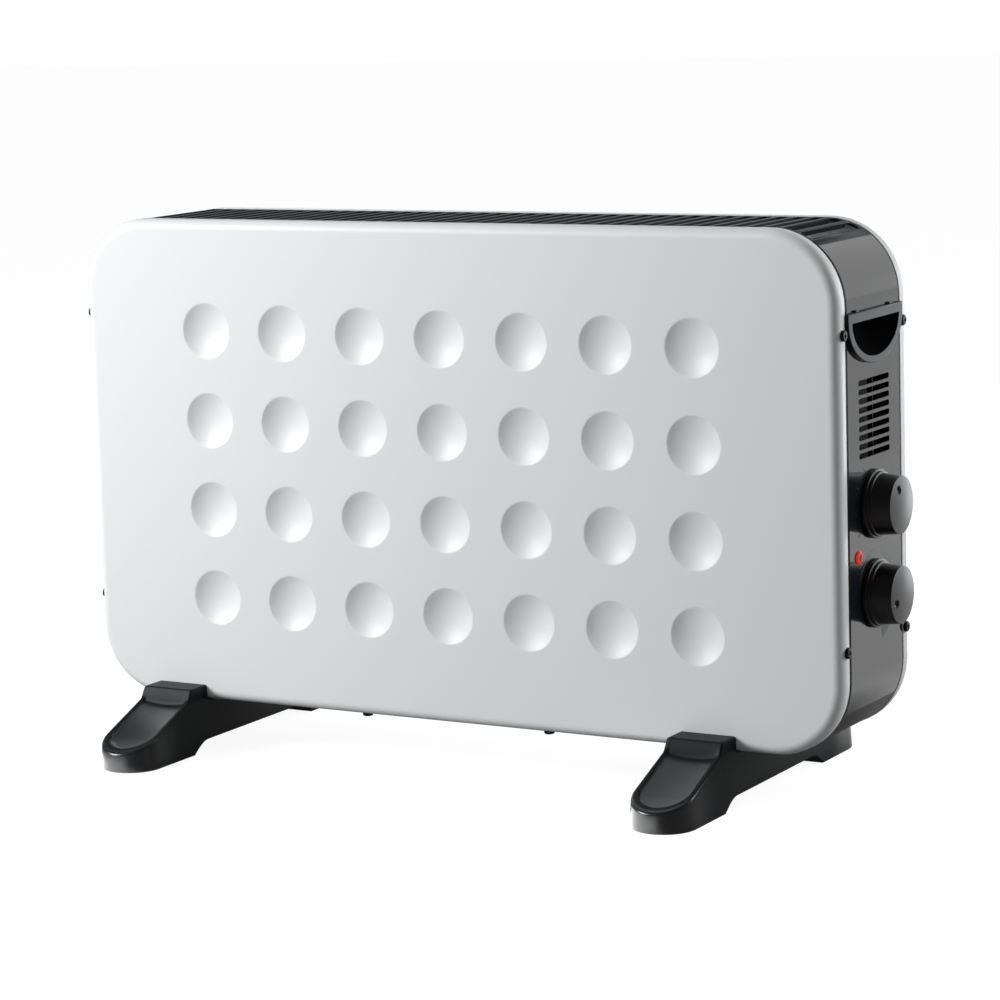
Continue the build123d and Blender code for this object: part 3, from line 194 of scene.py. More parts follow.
# Marks printed on the control panel; angles run from straight up towards the front
PRINT_RISE = 0.05 * MM
PRINT_FLOAT = 0.02 * MM
TICK_ANGLES = (33.0, 63.0, 125.0)
TICK_RADII = (24.5 * MM, 28.5 * MM)
TICK_WIDTH = 0.9 * MM
OFF_ANGLE = 93.0
OFF_DISTANCE = 26.0 * MM
OFF_RADII = (1.1 * MM, 1.9 * MM)
OFF_STEPS = 24
HEAT_ARC_ANGLES = (62.0, -161.0)
HEAT_ARC_RADIUS = 24.0 * MM
HEAT_ARC_WIDTHS = (1.2 * MM, 6.0 * MM)
HEAT_ARC_STEPS = 60

# Small rounding of the grille's and the handles' edges
GRILLE_EDGE = 0.3 * MM
CUP_EDGE = 0.4 * MM
EDGE_SEGMENTS = 2
EDGE_LEAST_ANGLE = math.radians(40)
EDGE_WELD = 1e-5

# Finishes: colour, shade, glossiest and dullest roughness, scale of the patches,
# scale of the grain, relief of the grain, and the shader's own constants
FINISHES = {
    "silver_paint": (
        (0.80, 0.81, 0.818), (0.775, 0.785, 0.795), (0.42, 0.50), 6.0, 2600.0, 0.05, {},
    ),
    "charcoal_paint": (
        (0.013, 0.015, 0.019), (0.010, 0.012, 0.016), (0.05, 0.10), 8.0, 1500.0, 0.02,
        {"IOR": 1.85},
    ),
    "grille_paint": (
        (0.014, 0.019, 0.023), (0.011, 0.015, 0.018), (0.42, 0.52), 10.0, 1500.0, 0.04,
        {"Specular IOR Level": 0.12},
    ),
    "underside_paint": (
        (0.016, 0.016, 0.017), (0.012, 0.012, 0.013), (0.35, 0.48), 10.0, 1400.0, 0.05, {},
    ),
    "black_plastic": (
        (0.012, 0.012, 0.013), (0.009, 0.009, 0.010), (0.32, 0.42), 14.0, 2200.0, 0.10,
        {"Specular IOR Level": 0.14},
    ),
    "foot_plastic": (
        (0.006, 0.007, 0.009), (0.004, 0.005, 0.006), (0.44, 0.52), 12.0, 2200.0, 0.05,
        {"Specular IOR Level": 0.16, "Coat Roughness": 0.22},
    ),
    "knob_plastic": (
        (0.003, 0.003, 0.004), (0.002, 0.002, 0.003), (0.34, 0.40), 20.0, 2400.0, 0.06,
        {"Specular IOR Level": 0.5},
    ),
    "black_screw": (
        (0.004, 0.004, 0.005), (0.002, 0.002, 0.002), (0.25, 0.35), 90.0, 3000.0, 0.02,
        {"Specular IOR Level": 0.15},
    ),
    "zinc_steel": (
        (0.60, 0.61, 0.62), (0.48, 0.49, 0.51), (0.28, 0.42), 30.0, 1200.0, 0.05, {"Metallic": 1.0},
    ),
    "bright_aluminium": (
        (0.82, 0.82, 0.83), (0.72, 0.72, 0.74), (0.16, 0.3), 20.0, 900.0, 0.04, {"Metallic": 1.0},
    ),
    "mica_board": ((0.58, 0.50, 0.36), (0.44, 0.37, 0.26), (0.5, 0.7), 40.0, 700.0, 0.2, {}),
    "heating_alloy": (
        (0.30, 0.27, 0.25), (0.20, 0.18, 0.18), (0.4, 0.6), 60.0, 900.0, 0.1, {"Metallic": 1.0},
    ),
    "white_ceramic": ((0.82, 0.79, 0.72), (0.74, 0.71, 0.64), (0.45, 0.6), 60.0, 900.0, 0.1, {}),
    "brass_contact": (
        (0.78, 0.60, 0.28), (0.62, 0.46, 0.20), (0.25, 0.4), 80.0, 1500.0, 0.05, {"Metallic": 1.0},
    ),
    "bimetal": (
        (0.62, 0.57, 0.50), (0.50, 0.45, 0.40), (0.3, 0.45), 80.0, 1500.0, 0.02, {"Metallic": 1.0},
    ),
    "rotor_plastic": ((0.74, 0.72, 0.64), (0.66, 0.64, 0.57), (0.4, 0.55), 60.0, 1200.0, 0.1, {}),
    "red_lens": (
        (0.10, 0.003, 0.001), (0.07, 0.002, 0.001), (0.24, 0.32), 200.0, 1500.0, 0.02,
        {"Specular IOR Level": 0.1},
    ),
    "lamp_sleeve": ((0.8, 0.79, 0.74), (0.72, 0.7, 0.66), (0.4, 0.5), 60.0, 1200.0, 0.02, {}),
    "lead_insulation": ((0.25, 0.25, 0.27), (0.18, 0.18, 0.2), (0.5, 0.65), 200.0, 1500.0, 0.1, {}),
    "earth_insulation": (
        (0.62, 0.60, 0.05), (0.08, 0.35, 0.06), (0.45, 0.6), 160.0, 1500.0, 0.1, {},
    ),
    # Painted shade: zinc made near black where the partition plate shows through the vents
    "zinc_painted_shade": (
        (0.003, 0.003, 0.004), (0.002, 0.002, 0.003), (0.5, 0.65), 30.0, 1200.0, 0.05,
        {"Metallic": 1.0},
    ),
}
RELIEF_DEPTH = 0.02 * MM
NOISE_DETAIL = 2.0
PATCH_SHARE = 0.65
GRAIN_SHARE = 0.35

# Nodes seen through the vents, given painted shade: a finish that is darker there than their slot's
VENT_SHADE_FINISHES = {"partition_plate": "zinc_painted_shade", "rear_panel": "rear_silver_painted_shade"}

# Camera, where the photograph was taken from
CAMERA_YAW = math.radians(30.155)
CAMERA_PITCH = math.radians(9.185)
CAMERA_ROLL = math.radians(-1.759)
CAMERA_PLACE = (1.0626 + body_x, -1.8107, 0.505)
CAMERA_LENS = 122.28
FILM_WIDTH = 36.0
CAMERA_CLIP = (0.05, 60.0)

# Surroundings: the light they give, and their brightness in gloss, which rises from its first
# value to its second while the direction's Y passes between the two ends of the turn
WHITE = (1, 1, 1, 1)
SKY_LIGHT = 0.21
SKY_IN_GLOSS = (0.08, 1.12)
SKY_TURN = (0.25, 1.0)

# Floor: half its width, its colour, and the glow that the camera sees
FLOOR_REACH = 12.0
FLOOR_GREY = (0.25, 0.25, 0.25, 1)
FLOOR_GLOW = 0.93

# Floor's brightness in reflections, painted: dark close to the heater as painted shade, lighter behind it,
# and bright in patches beside the front toes as painted light for the toes' highlights. Each change has a
# start and an end, along X for the patches' sides and along Y for the rest; the patches' changes also have
# the level after them
FLOOR_DARK = 0.05
FLOOR_BEHIND = 0.75
FLOOR_BRIGHT = 4.0
PATCH_SIDES = (
    (-0.28, -0.25, FLOOR_BRIGHT),
    (-0.215, -0.185, FLOOR_DARK),
    (0.02, 0.08, FLOOR_BRIGHT),
    (0.155, 0.185, FLOOR_DARK),
)
PATCH_FRONT = (-0.21, -0.17)
PATCH_BACK = (-0.102, -0.085)
BEHIND_START = (0.06, 0.20)

# Lamps: place, point aimed at, size, watts, tint, and whether they show in gloss alone
PLAIN_LIGHT = (1.0, 1.0, 1.0)
COOL_LIGHT = (0.93, 0.96, 1.0)
LAMPS = {
    "key_lamp": ((-1.15, -1.05, 0.8), (0.0, 0.0, 0.18), (0.7, 0.7), 28.5, PLAIN_LIGHT, False),
    "side_lamp": ((1.1, 0.75, 0.55), (0.2, 0.0, 0.2), (0.6, 0.6), 8.0, PLAIN_LIGHT, False),
    "top_lamp": ((0.0, 0.2, 1.6), (0.0, 0.0, 0.3), (1.0, 0.6), 0.8, PLAIN_LIGHT, False),
    "knob_card": ((0.425, 0.75, 0.2), (0.28, 0.0, 0.15), (0.19, 0.4), 1.1, COOL_LIGHT, True),
}


def rounded_outline(half_width, half_height, radius, steps):
    """Points round a rectangle with round corners, anticlockwise from the right side's top."""
    points = []
    for turn, sx, sy in ((0, 1, 1), (90, -1, 1), (180, -1, -1), (270, 1, -1)):
        cx, cy = sx * (half_width - radius), sy * (half_height - radius)
        for i in range(steps + 1):
            angle = math.radians(turn + 90 * i / steps)
            points.append((cx + radius * math.cos(angle), cy + radius * math.sin(angle)))
    return points


def circle(cx, cy, radius, steps):
    """Points round a circle."""
    turns = [2 * math.pi * i / steps for i in range(steps)]
    return [(cx + radius * math.cos(t), cy + radius * math.sin(t)) for t in turns]


def round_corners(corners, steps):
    """Line through corners of (a, b, rounding), each rounded by an arc of that radius."""
    line = []
    for i, (a, b, radius) in enumerate(corners):
        here = Vector((a, b))
        if radius == 0 or i in (0, len(corners) - 1):
            line.append((a, b))
            continue
        back = (Vector(corners[i - 1][:2]) - here).normalized()
        ahead = (Vector(corners[i + 1][:2]) - here).normalized()
        half = back.angle(ahead) / 2
        middle = here + (back + ahead).normalized() * (radius / math.sin(half))
        start = here + back * (radius / math.tan(half)) - middle
        end = here + ahead * (radius / math.tan(half)) - middle
        turn = start.angle_signed(end)
        for k in range(steps + 1):
            spoke = start.copy()
            spoke.rotate(Matrix.Rotation(-turn * k / steps, 2))
            line.append(tuple(middle + spoke))
    return line


def smooth_step(low, high, value):
    """Smooth rise from 0 to 1 between two values."""
    t = min(max((value - low) / (high - low), 0.0), 1.0)
    return t * t * (3 - 2 * t)


def along(line, a):
    """Value of a line of (a, b) points at a, with a rising along the line."""
    for (a0, b0), (a1, b1) in zip(line, line[1:]):
        if a <= a1:
            return b0 if a1 == a0 else b0 + (b1 - b0) * max(a - a0, 0.0) / (a1 - a0)
    return line[-1][1]


def fill(outline, holes, inner=()):
    """Flat triangles inside an outline and outside its round holes: points and faces."""
    points = []
    edges = []
    for loop in (outline, *holes):
        first = len(points)
        points += [Vector(p) for p in loop]
        edges += [(first + i, first + (i + 1) % len(loop)) for i in range(len(loop))]
    points += [Vector(p) for p in inner]
    found = delaunay_2d_cdt(points, edges, [], 1, SAME_CUT)
    middles = [sum((Vector(p) for p in hole), Vector((0, 0))) / len(hole) for hole in holes]
    reach = [
        (Vector(hole[0]) - middle).length * math.cos(math.pi / len(hole))
        for hole, middle in zip(holes, middles)
    ]
    faces = []
    for face in found[2]:
        centre = sum((found[0][i] for i in face), Vector((0, 0))) / len(face)
        if all((centre - m).length > r for m, r in zip(middles, reach)):
            faces.append(tuple(face))
    return [tuple(p) for p in found[0]], faces


class Sheet:
    """Points and faces of one piece while it is being made."""

    def __init__(self):
        self.points = []
        self.faces = []

    def loop(self, points):
        """Add points and return their numbers."""
        first = len(self.points)
        self.points += [tuple(p) for p in points]
        return list(range(first, len(self.points)))

    def bridge(self, a, b, closed=True):
        """Join two rows of the same number of points by a band of faces."""
        last = len(a) if closed else len(a) - 1
        for i in range(last):
            k = (i + 1) % len(a)
            self.faces.append((a[i], a[k], b[k], b[i]))

    def stack(self, rows, closed=True, before=None):
        """Add rows of points, each joined to the one before, and return the last one's numbers."""
        for points in rows:
            row = self.loop(points)
            if before:
                self.bridge(before, row, closed)
            before = row
        return before

    def fan(self, row, tip):
        """Close a row of points by faces to one point."""
        number = self.loop([tip])[0]
        for i in range(len(row)):
            self.faces.append((row[i], row[(i + 1) % len(row)], number))

    def patch(self, points, faces):
        """Add a ready set of points and faces."""
        first = len(self.points)
        self.points += [tuple(p) for p in points]
        self.faces += [tuple(first + i for i in face) for face in faces]

    def piece(self, name, body, slot, node, smooth_angle):
        """Turn the points and faces into an object that stands for a node of the heater."""
        mesh = bpy.data.meshes.new(name)
        mesh.from_pydata(self.points, [], self.faces)
        work = bmesh.new()
        work.from_mesh(mesh)
        bmesh.ops.remove_doubles(work, verts=work.verts, dist=SAME_POINT)
        bmesh.ops.dissolve_degenerate(work, edges=work.edges, dist=THIN_FACE)
        bmesh.ops.recalc_face_normals(work, faces=work.faces)
        work.to_mesh(mesh)
        work.free()
        mesh.shade_smooth()
        mesh.set_sharp_from_angle(angle=math.radians(smooth_angle))
        made = bpy.data.objects.new(name, mesh)
        bpy.context.scene.collection.objects.link(made)
        mesh.materials.append(materials[slot])
        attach(made, body)
        if node:
            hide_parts(node)
        return made


def feed(tree, socket, value):
    """Link a socket to another one, or set it to a number, vector or colour."""
    if isinstance(value, (int, float, tuple)):
        socket.default_value = value
    else:
        tree.links.new(value, socket)


def measure(tree, kind, *values):
    """One step of arithmetic on sockets or numbers."""
    node = tree.nodes.new("ShaderNodeMath")
    node.operation = kind
    for socket, value in zip(node.inputs, values):
        feed(tree, socket, value)
    return node.outputs[0]


def measure_vector(tree, kind, *values):
    """One step of arithmetic on vectors; the length comes out as a number."""
    node = tree.nodes.new("ShaderNodeVectorMath")
    node.operation = kind
    for socket, value in zip(node.inputs, values):
        feed(tree, socket, value)
    return node.outputs["Value" if kind == "LENGTH" else "Vector"]


def rise(tree, value, low, high):
    """Smooth rise from 0 to 1 while a value passes from low to high."""
    node = tree.nodes.new("ShaderNodeMapRange")
    node.interpolation_type = "SMOOTHSTEP"
    for label, end in (("Value", value), ("From Min", low), ("From Max", high)):
        feed(tree, node.inputs[label], end)
    return node.outputs["Result"]


def spread(tree, value, low, high, start=0.0, end=1.0):
    """Even change from low to high while a value passes from start to end."""
    node = tree.nodes.new("ShaderNodeMapRange")
    ends = {"Value": value, "From Min": start, "From Max": end, "To Min": low, "To Max": high}
    for label, end_value in ends.items():
        feed(tree, node.inputs[label], end_value)
    return node.outputs["Result"]


def blend(tree, share, first, second, kind="RGBA"):
    """Mix of two colours or numbers, the second one where the share is 1."""
    node = tree.nodes.new("ShaderNodeMix")
    node.data_type = kind
    for label, value in (("Factor", share), ("A", first), ("B", second)):
        feed(tree, node.inputs[label], value)
    return node.outputs["Result"]


def heater_place(tree):
    """Place in the heater's frame, which the floor shares."""
    return tree.nodes.new("ShaderNodeTexCoord").outputs["Object"]


def heater_axes(tree):
    """X, Y and Z of the place in the heater's frame."""
    split = tree.nodes.new("ShaderNodeSeparateXYZ")
    tree.links.new(heater_place(tree), split.inputs[0])
    return split.outputs


def noise(tree, place, scale):
    """Noise at a place, with its scale from a socket."""
    node = tree.nodes.new("ShaderNodeTexNoise")
    node.inputs["Detail"].default_value = NOISE_DETAIL
    tree.links.new(place, node.inputs["Vector"])
    tree.links.new(scale, node.inputs["Scale"])
    return node.outputs["Fac"]


def socket_group(name, inputs, outputs):
    """Empty shader node group with named sockets, its entry and its exit."""
    group = bpy.data.node_groups.new(name, "ShaderNodeTree")
    for label, kind, value in inputs:
        socket = group.interface.new_socket(label, in_out="INPUT", socket_type=kind)
        socket.default_value = value
    for label, kind in outputs:
        group.interface.new_socket(label, in_out="OUTPUT", socket_type=kind)
    return group, group.nodes.new("NodeGroupInput"), group.nodes.new("NodeGroupOutput")


def place_group(tree, group, **values):
    """Place a shared group in a material and set its inputs."""
    node = tree.nodes.new("ShaderNodeGroup")
    node.node_tree = group
    for label, value in values.items():
        node.inputs[label.replace("_", " ")].default_value = value
    return node.outputs


def make_surface_group():
    """Shared surface effect: uneven colour, uneven gloss and a fine relief."""
    group, entry, leave = socket_group(
        "uneven_surface",
        [
            ("Colour", "NodeSocketColor", (0.5, 0.5, 0.5, 1)),
            ("Shade", "NodeSocketColor", (0.4, 0.4, 0.4, 1)),
            ("Dullest", "NodeSocketFloat", 0.5),
            ("Glossiest", "NodeSocketFloat", 0.3),
            ("Patch Scale", "NodeSocketFloat", 12.0),
            ("Grain Scale", "NodeSocketFloat", 900.0),
        ],
        [("Colour", "NodeSocketColor"), ("Roughness", "NodeSocketFloat"), ("Relief", "NodeSocketFloat")],
    )
    given = entry.outputs
    place = heater_place(group)
    patches = noise(group, place, given["Patch Scale"])
    grain = noise(group, place, given["Grain Scale"])
    colour = blend(group, patches, given["Shade"], given["Colour"])
    patch_part = measure(group, "MULTIPLY", patches, PATCH_SHARE)
    both = measure(group, "MULTIPLY_ADD", grain, GRAIN_SHARE, patch_part)
    gloss = spread(group, both, given["Glossiest"], given["Dullest"])
    for label, value in (("Colour", colour), ("Roughness", gloss), ("Relief", grain)):
        group.links.new(value, leave.inputs[label])
    return group


def make_ring_group():
    """Shared mask: 0 on an axis along X, 1 outside a radius round it."""
    group, entry, leave = socket_group(
        "round_mask",
        [
            ("Middle", "NodeSocketVector", (0, 0, 0)),
            ("Inner", "NodeSocketFloat", LENS_DARK_RADIUS),
            ("Outer", "NodeSocketFloat", LENS_GLOW_RADIUS),
        ],
        [("Mask", "NodeSocketFloat")],
    )
    given = entry.outputs
    away = measure_vector(group, "SUBTRACT", heater_place(group), given["Middle"])
    reach = measure_vector(group, "LENGTH", measure_vector(group, "MULTIPLY", away, (0, 1, 1)))
    group.links.new(rise(group, reach, given["Inner"], given["Outer"]), leave.inputs["Mask"])
    return group


def make_tongue_group():
    """Shared mask: 1 in the dished tongues of both feet and on their toes' walls, 0 elsewhere."""
    group, _, leave = socket_group("tongue_mask", [], [("Mask", "NodeSocketFloat")])
    left_x, right_x = (box_middle(node)[0] for node in ("left_foot", "right_foot"))
    axes = heater_axes(group)
    aside = measure(group, "SUBTRACT", axes["X"], (left_x + right_x) / 2)
    aside = measure(group, "SUBTRACT", measure(group, "ABSOLUTE", aside), (right_x - left_x) / 2)
    ahead = measure(group, "ABSOLUTE", axes["Y"])
    half = FOOT_HALF_WIDTH - DISH_BORDER
    round_start = FOOT_HALF_LENGTH - DISH_TOE_MARGIN - half
    beyond = measure(group, "MAXIMUM", measure(group, "SUBTRACT", ahead, round_start), 0.0)
    squares = [measure(group, "MULTIPLY", value, value) for value in (aside, beyond)]
    reach = measure(group, "SQRT", measure(group, "ADD", *squares))
    inside = rise(group, reach, half, half - DISH_WALL)
    below = rise(group, ahead, *TONGUE_GLOSS_START)
    dish = measure(group, "MULTIPLY", inside, below)
    edge = FOOT_HALF_WIDTH - FOOT_EDGE_ROUND
    wall = rise(group, reach, edge, edge + FOOT_EDGE_ROUND / 2)
    toe = measure(group, "MULTIPLY", wall, rise(group, ahead, *TOE_GLOSS_START))
    group.links.new(measure(group, "MAXIMUM", dish, toe), leave.inputs["Mask"])
    return group


def finish(name, row):
    """Material of one row of the finishes, from the shared surface effect and its constants."""
    colour, shade, gloss, patch, grain, relief, constants = FINISHES[row]
    material = bpy.data.materials.new(name)
    material.use_nodes = True
    tree = material.node_tree
    shader = tree.nodes["Principled BSDF"]
    effect = place_group(
        tree, surface_group, Colour=(*colour, 1), Shade=(*shade, 1),
        Glossiest=gloss[0], Dullest=gloss[1], Patch_Scale=patch, Grain_Scale=grain,
    )
    bump = tree.nodes.new("ShaderNodeBump")
    bump.inputs["Strength"].default_value = relief
    bump.inputs["Distance"].default_value = RELIEF_DEPTH
    tree.links.new(effect["Relief"], bump.inputs["Height"])
    tree.links.new(effect["Colour"], shader.inputs["Base Color"])
    tree.links.new(effect["Roughness"], shader.inputs["Roughness"])
    tree.links.new(bump.outputs["Normal"], shader.inputs["Normal"])
    for label, value in constants.items():
        shader.inputs[label].default_value = value
    return material


def paint_shade(tree, mask, ends):
    """Paint shade: fade a material to given ends where a mask is 1, as dark metal, which reflects next to
    nothing.
    """
    shader = tree.nodes["Principled BSDF"]
    for label, end in ends.items():
        before = shader.inputs[label].links[0].from_socket
        kind = "RGBA" if isinstance(end, tuple) else "FLOAT"
        tree.links.new(blend(tree, mask, before, end, kind), shader.inputs[label])
    tree.links.new(mask, shader.inputs["Metallic"])


def beside_vents(tree, z):
    """1 at the height of the vents and controls, 0 above and below."""
    level = measure(tree, "ABSOLUTE", measure(tree, "SUBTRACT", z, body_z))
    return rise(tree, level, VENT_ZONE + SHADE_EDGE_BLUR, VENT_ZONE)


def paint_plate_shade(tree):
    """Painted shade: a black seam beside the front rim and black walls inside the vents."""
    axes = heater_axes(tree)
    seam_end = rim_y + SEAM_SHADE_WIDTH
    seam = rise(tree, axes["Y"], seam_end, seam_end - SHADE_EDGE_BLUR)
    aside = measure(tree, "ABSOLUTE", measure(tree, "SUBTRACT", axes["X"], body_x))
    skin = plate_x - body_x - VENT_SKIN
    walls = rise(tree, aside, skin, skin - SHADE_EDGE_BLUR)
    walls = measure(tree, "MULTIPLY", walls, beside_vents(tree, axes["Z"]))
    dark = measure(tree, "MAXIMUM", seam, walls)
    paint_shade(tree, dark, {"Base Color": PAINTED_SHADE_COLOUR, "Roughness": PAINTED_SHADE_ROUGHNESS})


def paint_rear_shade(tree):
    """Painted shade on the rear panel's inside margin, where it shows through the vents."""
    axes = heater_axes(tree)
    aside = measure(tree, "SUBTRACT", axes["X"], body_x)
    start, end = PAINTED_SHADE_MARGIN
    far = rise(tree, aside, start, start + SHADE_EDGE_BLUR)
    near = rise(tree, aside, end + SHADE_EDGE_BLUR, end)
    margin = measure(tree, "MULTIPLY", far, near)
    inner_y = rear_y - SHEET / 2
    inside = rise(tree, axes["Y"], inner_y, inner_y - SHADE_EDGE_BLUR)
    inside = measure(tree, "MULTIPLY", inside, beside_vents(tree, axes["Z"]))
    paint_shade(tree, measure(tree, "MULTIPLY", margin, inside), {"Base Color": PAINTED_SHADE_COLOUR})


def light_lens(tree):
    """Glow of the clear red lens, dark over its lamp's middle."""
    mask = place_group(
        tree, ring_group,
        Middle=box_middle("indicator_lens"), Inner=LENS_DARK_RADIUS, Outer=LENS_GLOW_RADIUS,
    )["Mask"]
    shader = tree.nodes["Principled BSDF"]
    tree.links.new(blend(tree, mask, LENS_DARK_GLOW, LENS_FULL_GLOW), shader.inputs["Emission Color"])
    shader.inputs["Emission Strength"].default_value = LENS_STRENGTH


def polish_tongues(tree):
    """Polish of the feet inside the tongues' dishes and round the toes."""
    mask = place_group(tree, tongue_group)["Mask"]
    tree.links.new(mask, tree.nodes["Principled BSDF"].inputs["Coat Weight"])


surface_group = make_surface_group()
ring_group = make_ring_group()
tongue_group = make_tongue_group()
materials = {name: finish(name, name) for name in FINISHES}
# Silver paint with painted shade on the rear panel's inside margin
materials["rear_silver_painted_shade"] = finish("rear_silver_painted_shade", "silver_paint")
paint_plate_shade(materials["charcoal_paint"].node_tree)
paint_rear_shade(materials["rear_silver_painted_shade"].node_tree)
light_lens(materials["red_lens"].node_tree)
polish_tongues(materials["foot_plastic"].node_tree)
node_finish = {part["node"]: part["material_slot"] for part in frame["record"]["subparts"]}
node_finish.update(VENT_SHADE_FINISHES)
for node, shape in frame["nodes"].items():
    shape.data.materials.clear()
    shape.data.materials.append(materials[node_finish[node]])


def dimple_profile():
    """Radius and depth of each ring of a dimple, from its flat rim down to its middle."""
    ball = (DIMPLE_RADIUS ** 2 + DIMPLE_DEPTH ** 2) / (2 * DIMPLE_DEPTH)
    lip = DIMPLE_LIP_RADIUS
    above = ball - DIMPLE_DEPTH
    rim = math.sqrt((ball + lip) ** 2 - (above + lip) ** 2)
    steepest = math.atan2(rim, above + lip)
    rings = [(rim + FLAT_MARGIN, 0.0)]
    for i in range(LIP_STEPS + 1):
        angle = steepest * i / LIP_STEPS
        rings.append((rim - lip * math.sin(angle), lip * (1 - math.cos(angle))))
    for i in range(1, BOWL_STEPS + 1):
        angle = steepest * (1 - i / BOWL_STEPS)
        rings.append((ball * math.sin(angle), ball * math.cos(angle) - above))
    return rings


def make_front_panel():
    """Pressed front sheet: dimpled face, rolled edge and rim flange."""
    sheet = Sheet()
    rings = dimple_profile()
    columns = [(i - (DIMPLE_COLUMNS - 1) / 2) * DIMPLE_PITCH for i in range(DIMPLE_COLUMNS)]
    rows = [(i - (DIMPLE_ROWS - 1) / 2) * DIMPLE_PITCH - DIMPLE_DROP for i in range(DIMPLE_ROWS)]
    dimples = [(x, z) for z in rows for x in columns]

    def lay(points, y):
        """Points of the panel at one depth."""
        return [(body_x + x, y, body_z + z) for x, z in points]

    def outline(inset):
        """Panel's outline drawn in by an inset."""
        return rounded_outline(
            body_half_width - inset, body_half_height - inset, CORNER_RADIUS - inset, CORNER_STEPS
        )

    margin = EDGE_ROLL + FLAT_MARGIN
    holes = [circle(x, z, rings[0][0], DIMPLE_STEPS) for x, z in dimples]
    points, faces = fill(outline(margin), holes)
    sheet.patch(lay(points, face_y), faces)
    for x, z in dimples:
        bowl = [lay(circle(x, z, radius, DIMPLE_STEPS), face_y + depth) for radius, depth in rings[:-1]]
        sheet.fan(sheet.stack(bowl), (body_x + x, face_y + rings[-1][1], body_z + z))
    levels = [(margin, face_y)]
    for i in range(ROLL_STEPS + 1):
        angle = math.pi / 2 * i / ROLL_STEPS
        levels.append((EDGE_ROLL * (1 - math.sin(angle)), face_y + EDGE_ROLL * (1 - math.cos(angle))))
    levels.append((0.0, rim_y))
    sheet.stack([lay(outline(inset), y) for inset, y in levels])
    panel = sheet.piece("front_sheet", "heater", "silver_paint", "front_panel", smooth_angle=35.0)
    thick = panel.modifiers.new("sheet", "SOLIDIFY")
    thick.thickness = SHEET
    thick.offset = -1.0
    thick.use_even_offset = True


def foot_top_line():
    """Height of a foot's top along its length, from the toe to its middle."""
    line = round_corners([
        (-FOOT_HALF_LENGTH, TOE_HEIGHT, 0.0),
        (KNEE[0], KNEE[1], KNEE_ROUND),
        (CLIP_BROW[0], CLIP_BROW[1], BROW_ROUND),
        (CLIP_BACK_Y, CLIP_BROW[1], 0.0),
    ], TOP_CORNER_STEPS)
    return line + [(CLIP_BACK_Y + CLIP_BACK_RUN, SADDLE_Z), (0.0, SADDLE_Z)]


def foot_sole_height(y):
    """Height of a foot's underside at a place along it."""
    t = (y - PAD_END_Y) / (ARCH_START_Y - PAD_END_Y)
    return ARCH_HEIGHT * math.sin(math.pi / 2 * min(max(t, 0.0), 1.0))


def dish_depth(x, y):
    """How far the tongue's dish lies below its border at a place."""
    half = FOOT_HALF_WIDTH - DISH_BORDER
    toe = -FOOT_HALF_LENGTH + DISH_TOE_MARGIN + half
    inside = half - (math.hypot(x, y - toe) if y < toe else abs(x))
    if inside <= 0:
        return 0.0
    wall = DISH_WALL_DEPTH * smooth_step(0.0, DISH_WALL, inside)
    bowl = DISH_BOWL_DEPTH * (1 - (1 - min(inside / half, 1.0)) ** 2)
    return (wall + bowl) * smooth_step(DISH_TOP_Y, DISH_TOP_Y - DISH_TOP_RUN, y)


def flank_rows():
    """Places along one flank of a foot, from its middle to where the round toe starts."""
    marks = [*MIDDLE_ROWS, CLIP_BACK_Y + CLIP_BACK_RUN, CLIP_BACK_Y]
    count = int((CLIP_BACK_Y - TOE_CENTRE_Y) / FLANK_ROW_STEP)
    marks += [CLIP_BACK_Y - FLANK_ROW_STEP * i for i in range(1, count)]
    marks += [y for y, z in foot_top_line() if TOE_CENTRE_Y < y < CLIP_BACK_Y]
    marks += [ARCH_START_Y, PAD_END_Y]
    rows = []
    for y in sorted(set(marks), reverse=True):
        if not rows or rows[-1] - y > LEAST_ROW_GAP:
            rows.append(y)
    return rows


def foot_stations():
    """Stations from a foot's middle along one flank, round the toe and back on the other side.

    Each is a place on the flank or an angle round the toe, the other one being None, and a side.
    """
    stations = [(y, None) for y in flank_rows()]
    stations += [(None, math.radians(90 * i / TOE_STEPS)) for i in range(TOE_STEPS + 1)]
    right = [(station, 1) for station in stations]
    left = [(station, -1) for station in reversed(stations[:-1])]
    return right + left


def foot_insets():
    """How far each row of points on a foot's top lies in from its outline."""
    edge = [FOOT_EDGE_ROUND * (1 - math.cos(math.radians(angle))) for angle in FOOT_EDGE_ANGLES]
    border = [DISH_BORDER * BORDER_ROW_SHARE, DISH_BORDER - WALL_LEAD]
    wall = [DISH_BORDER + WALL_ROW_STEP * i for i in range(WALL_ROWS)]
    reach = FOOT_HALF_WIDTH - DISH_BORDER - WALL_RUN
    bowl = [DISH_BORDER + WALL_RUN + reach * i / BOWL_ROWS for i in range(1, BOWL_ROWS)]
    return edge + border + wall + bowl + [FOOT_HALF_WIDTH]


def plan_point(inset, y, turn):
    """Point of a foot's plan outline drawn in by an inset, on the flank or round the toe."""
    half = FOOT_HALF_WIDTH - inset
    if turn is None:
        return half, y
    return half * math.cos(turn), TOE_CENTRE_Y - half * math.sin(turn)


def foot_top_row(inset, stations, top):
    """Row of points on a foot's top, drawn in by an inset."""
    gap = max(FOOT_EDGE_ROUND - inset, 0.0)
    drop = FOOT_EDGE_ROUND - math.sqrt(FOOT_EDGE_ROUND ** 2 - gap ** 2)
    row = []
    for (y, turn), side in stations:
        pull = along(top, plan_point(inset, y, turn)[1]) * math.tan(FOOT_DRAFT)
        across, ahead = plan_point(min(inset + pull, FOOT_HALF_WIDTH), y, turn)
        height = along(top, ahead) - drop - dish_depth(across, ahead)
        row.append((side * across, ahead, height))
    return row


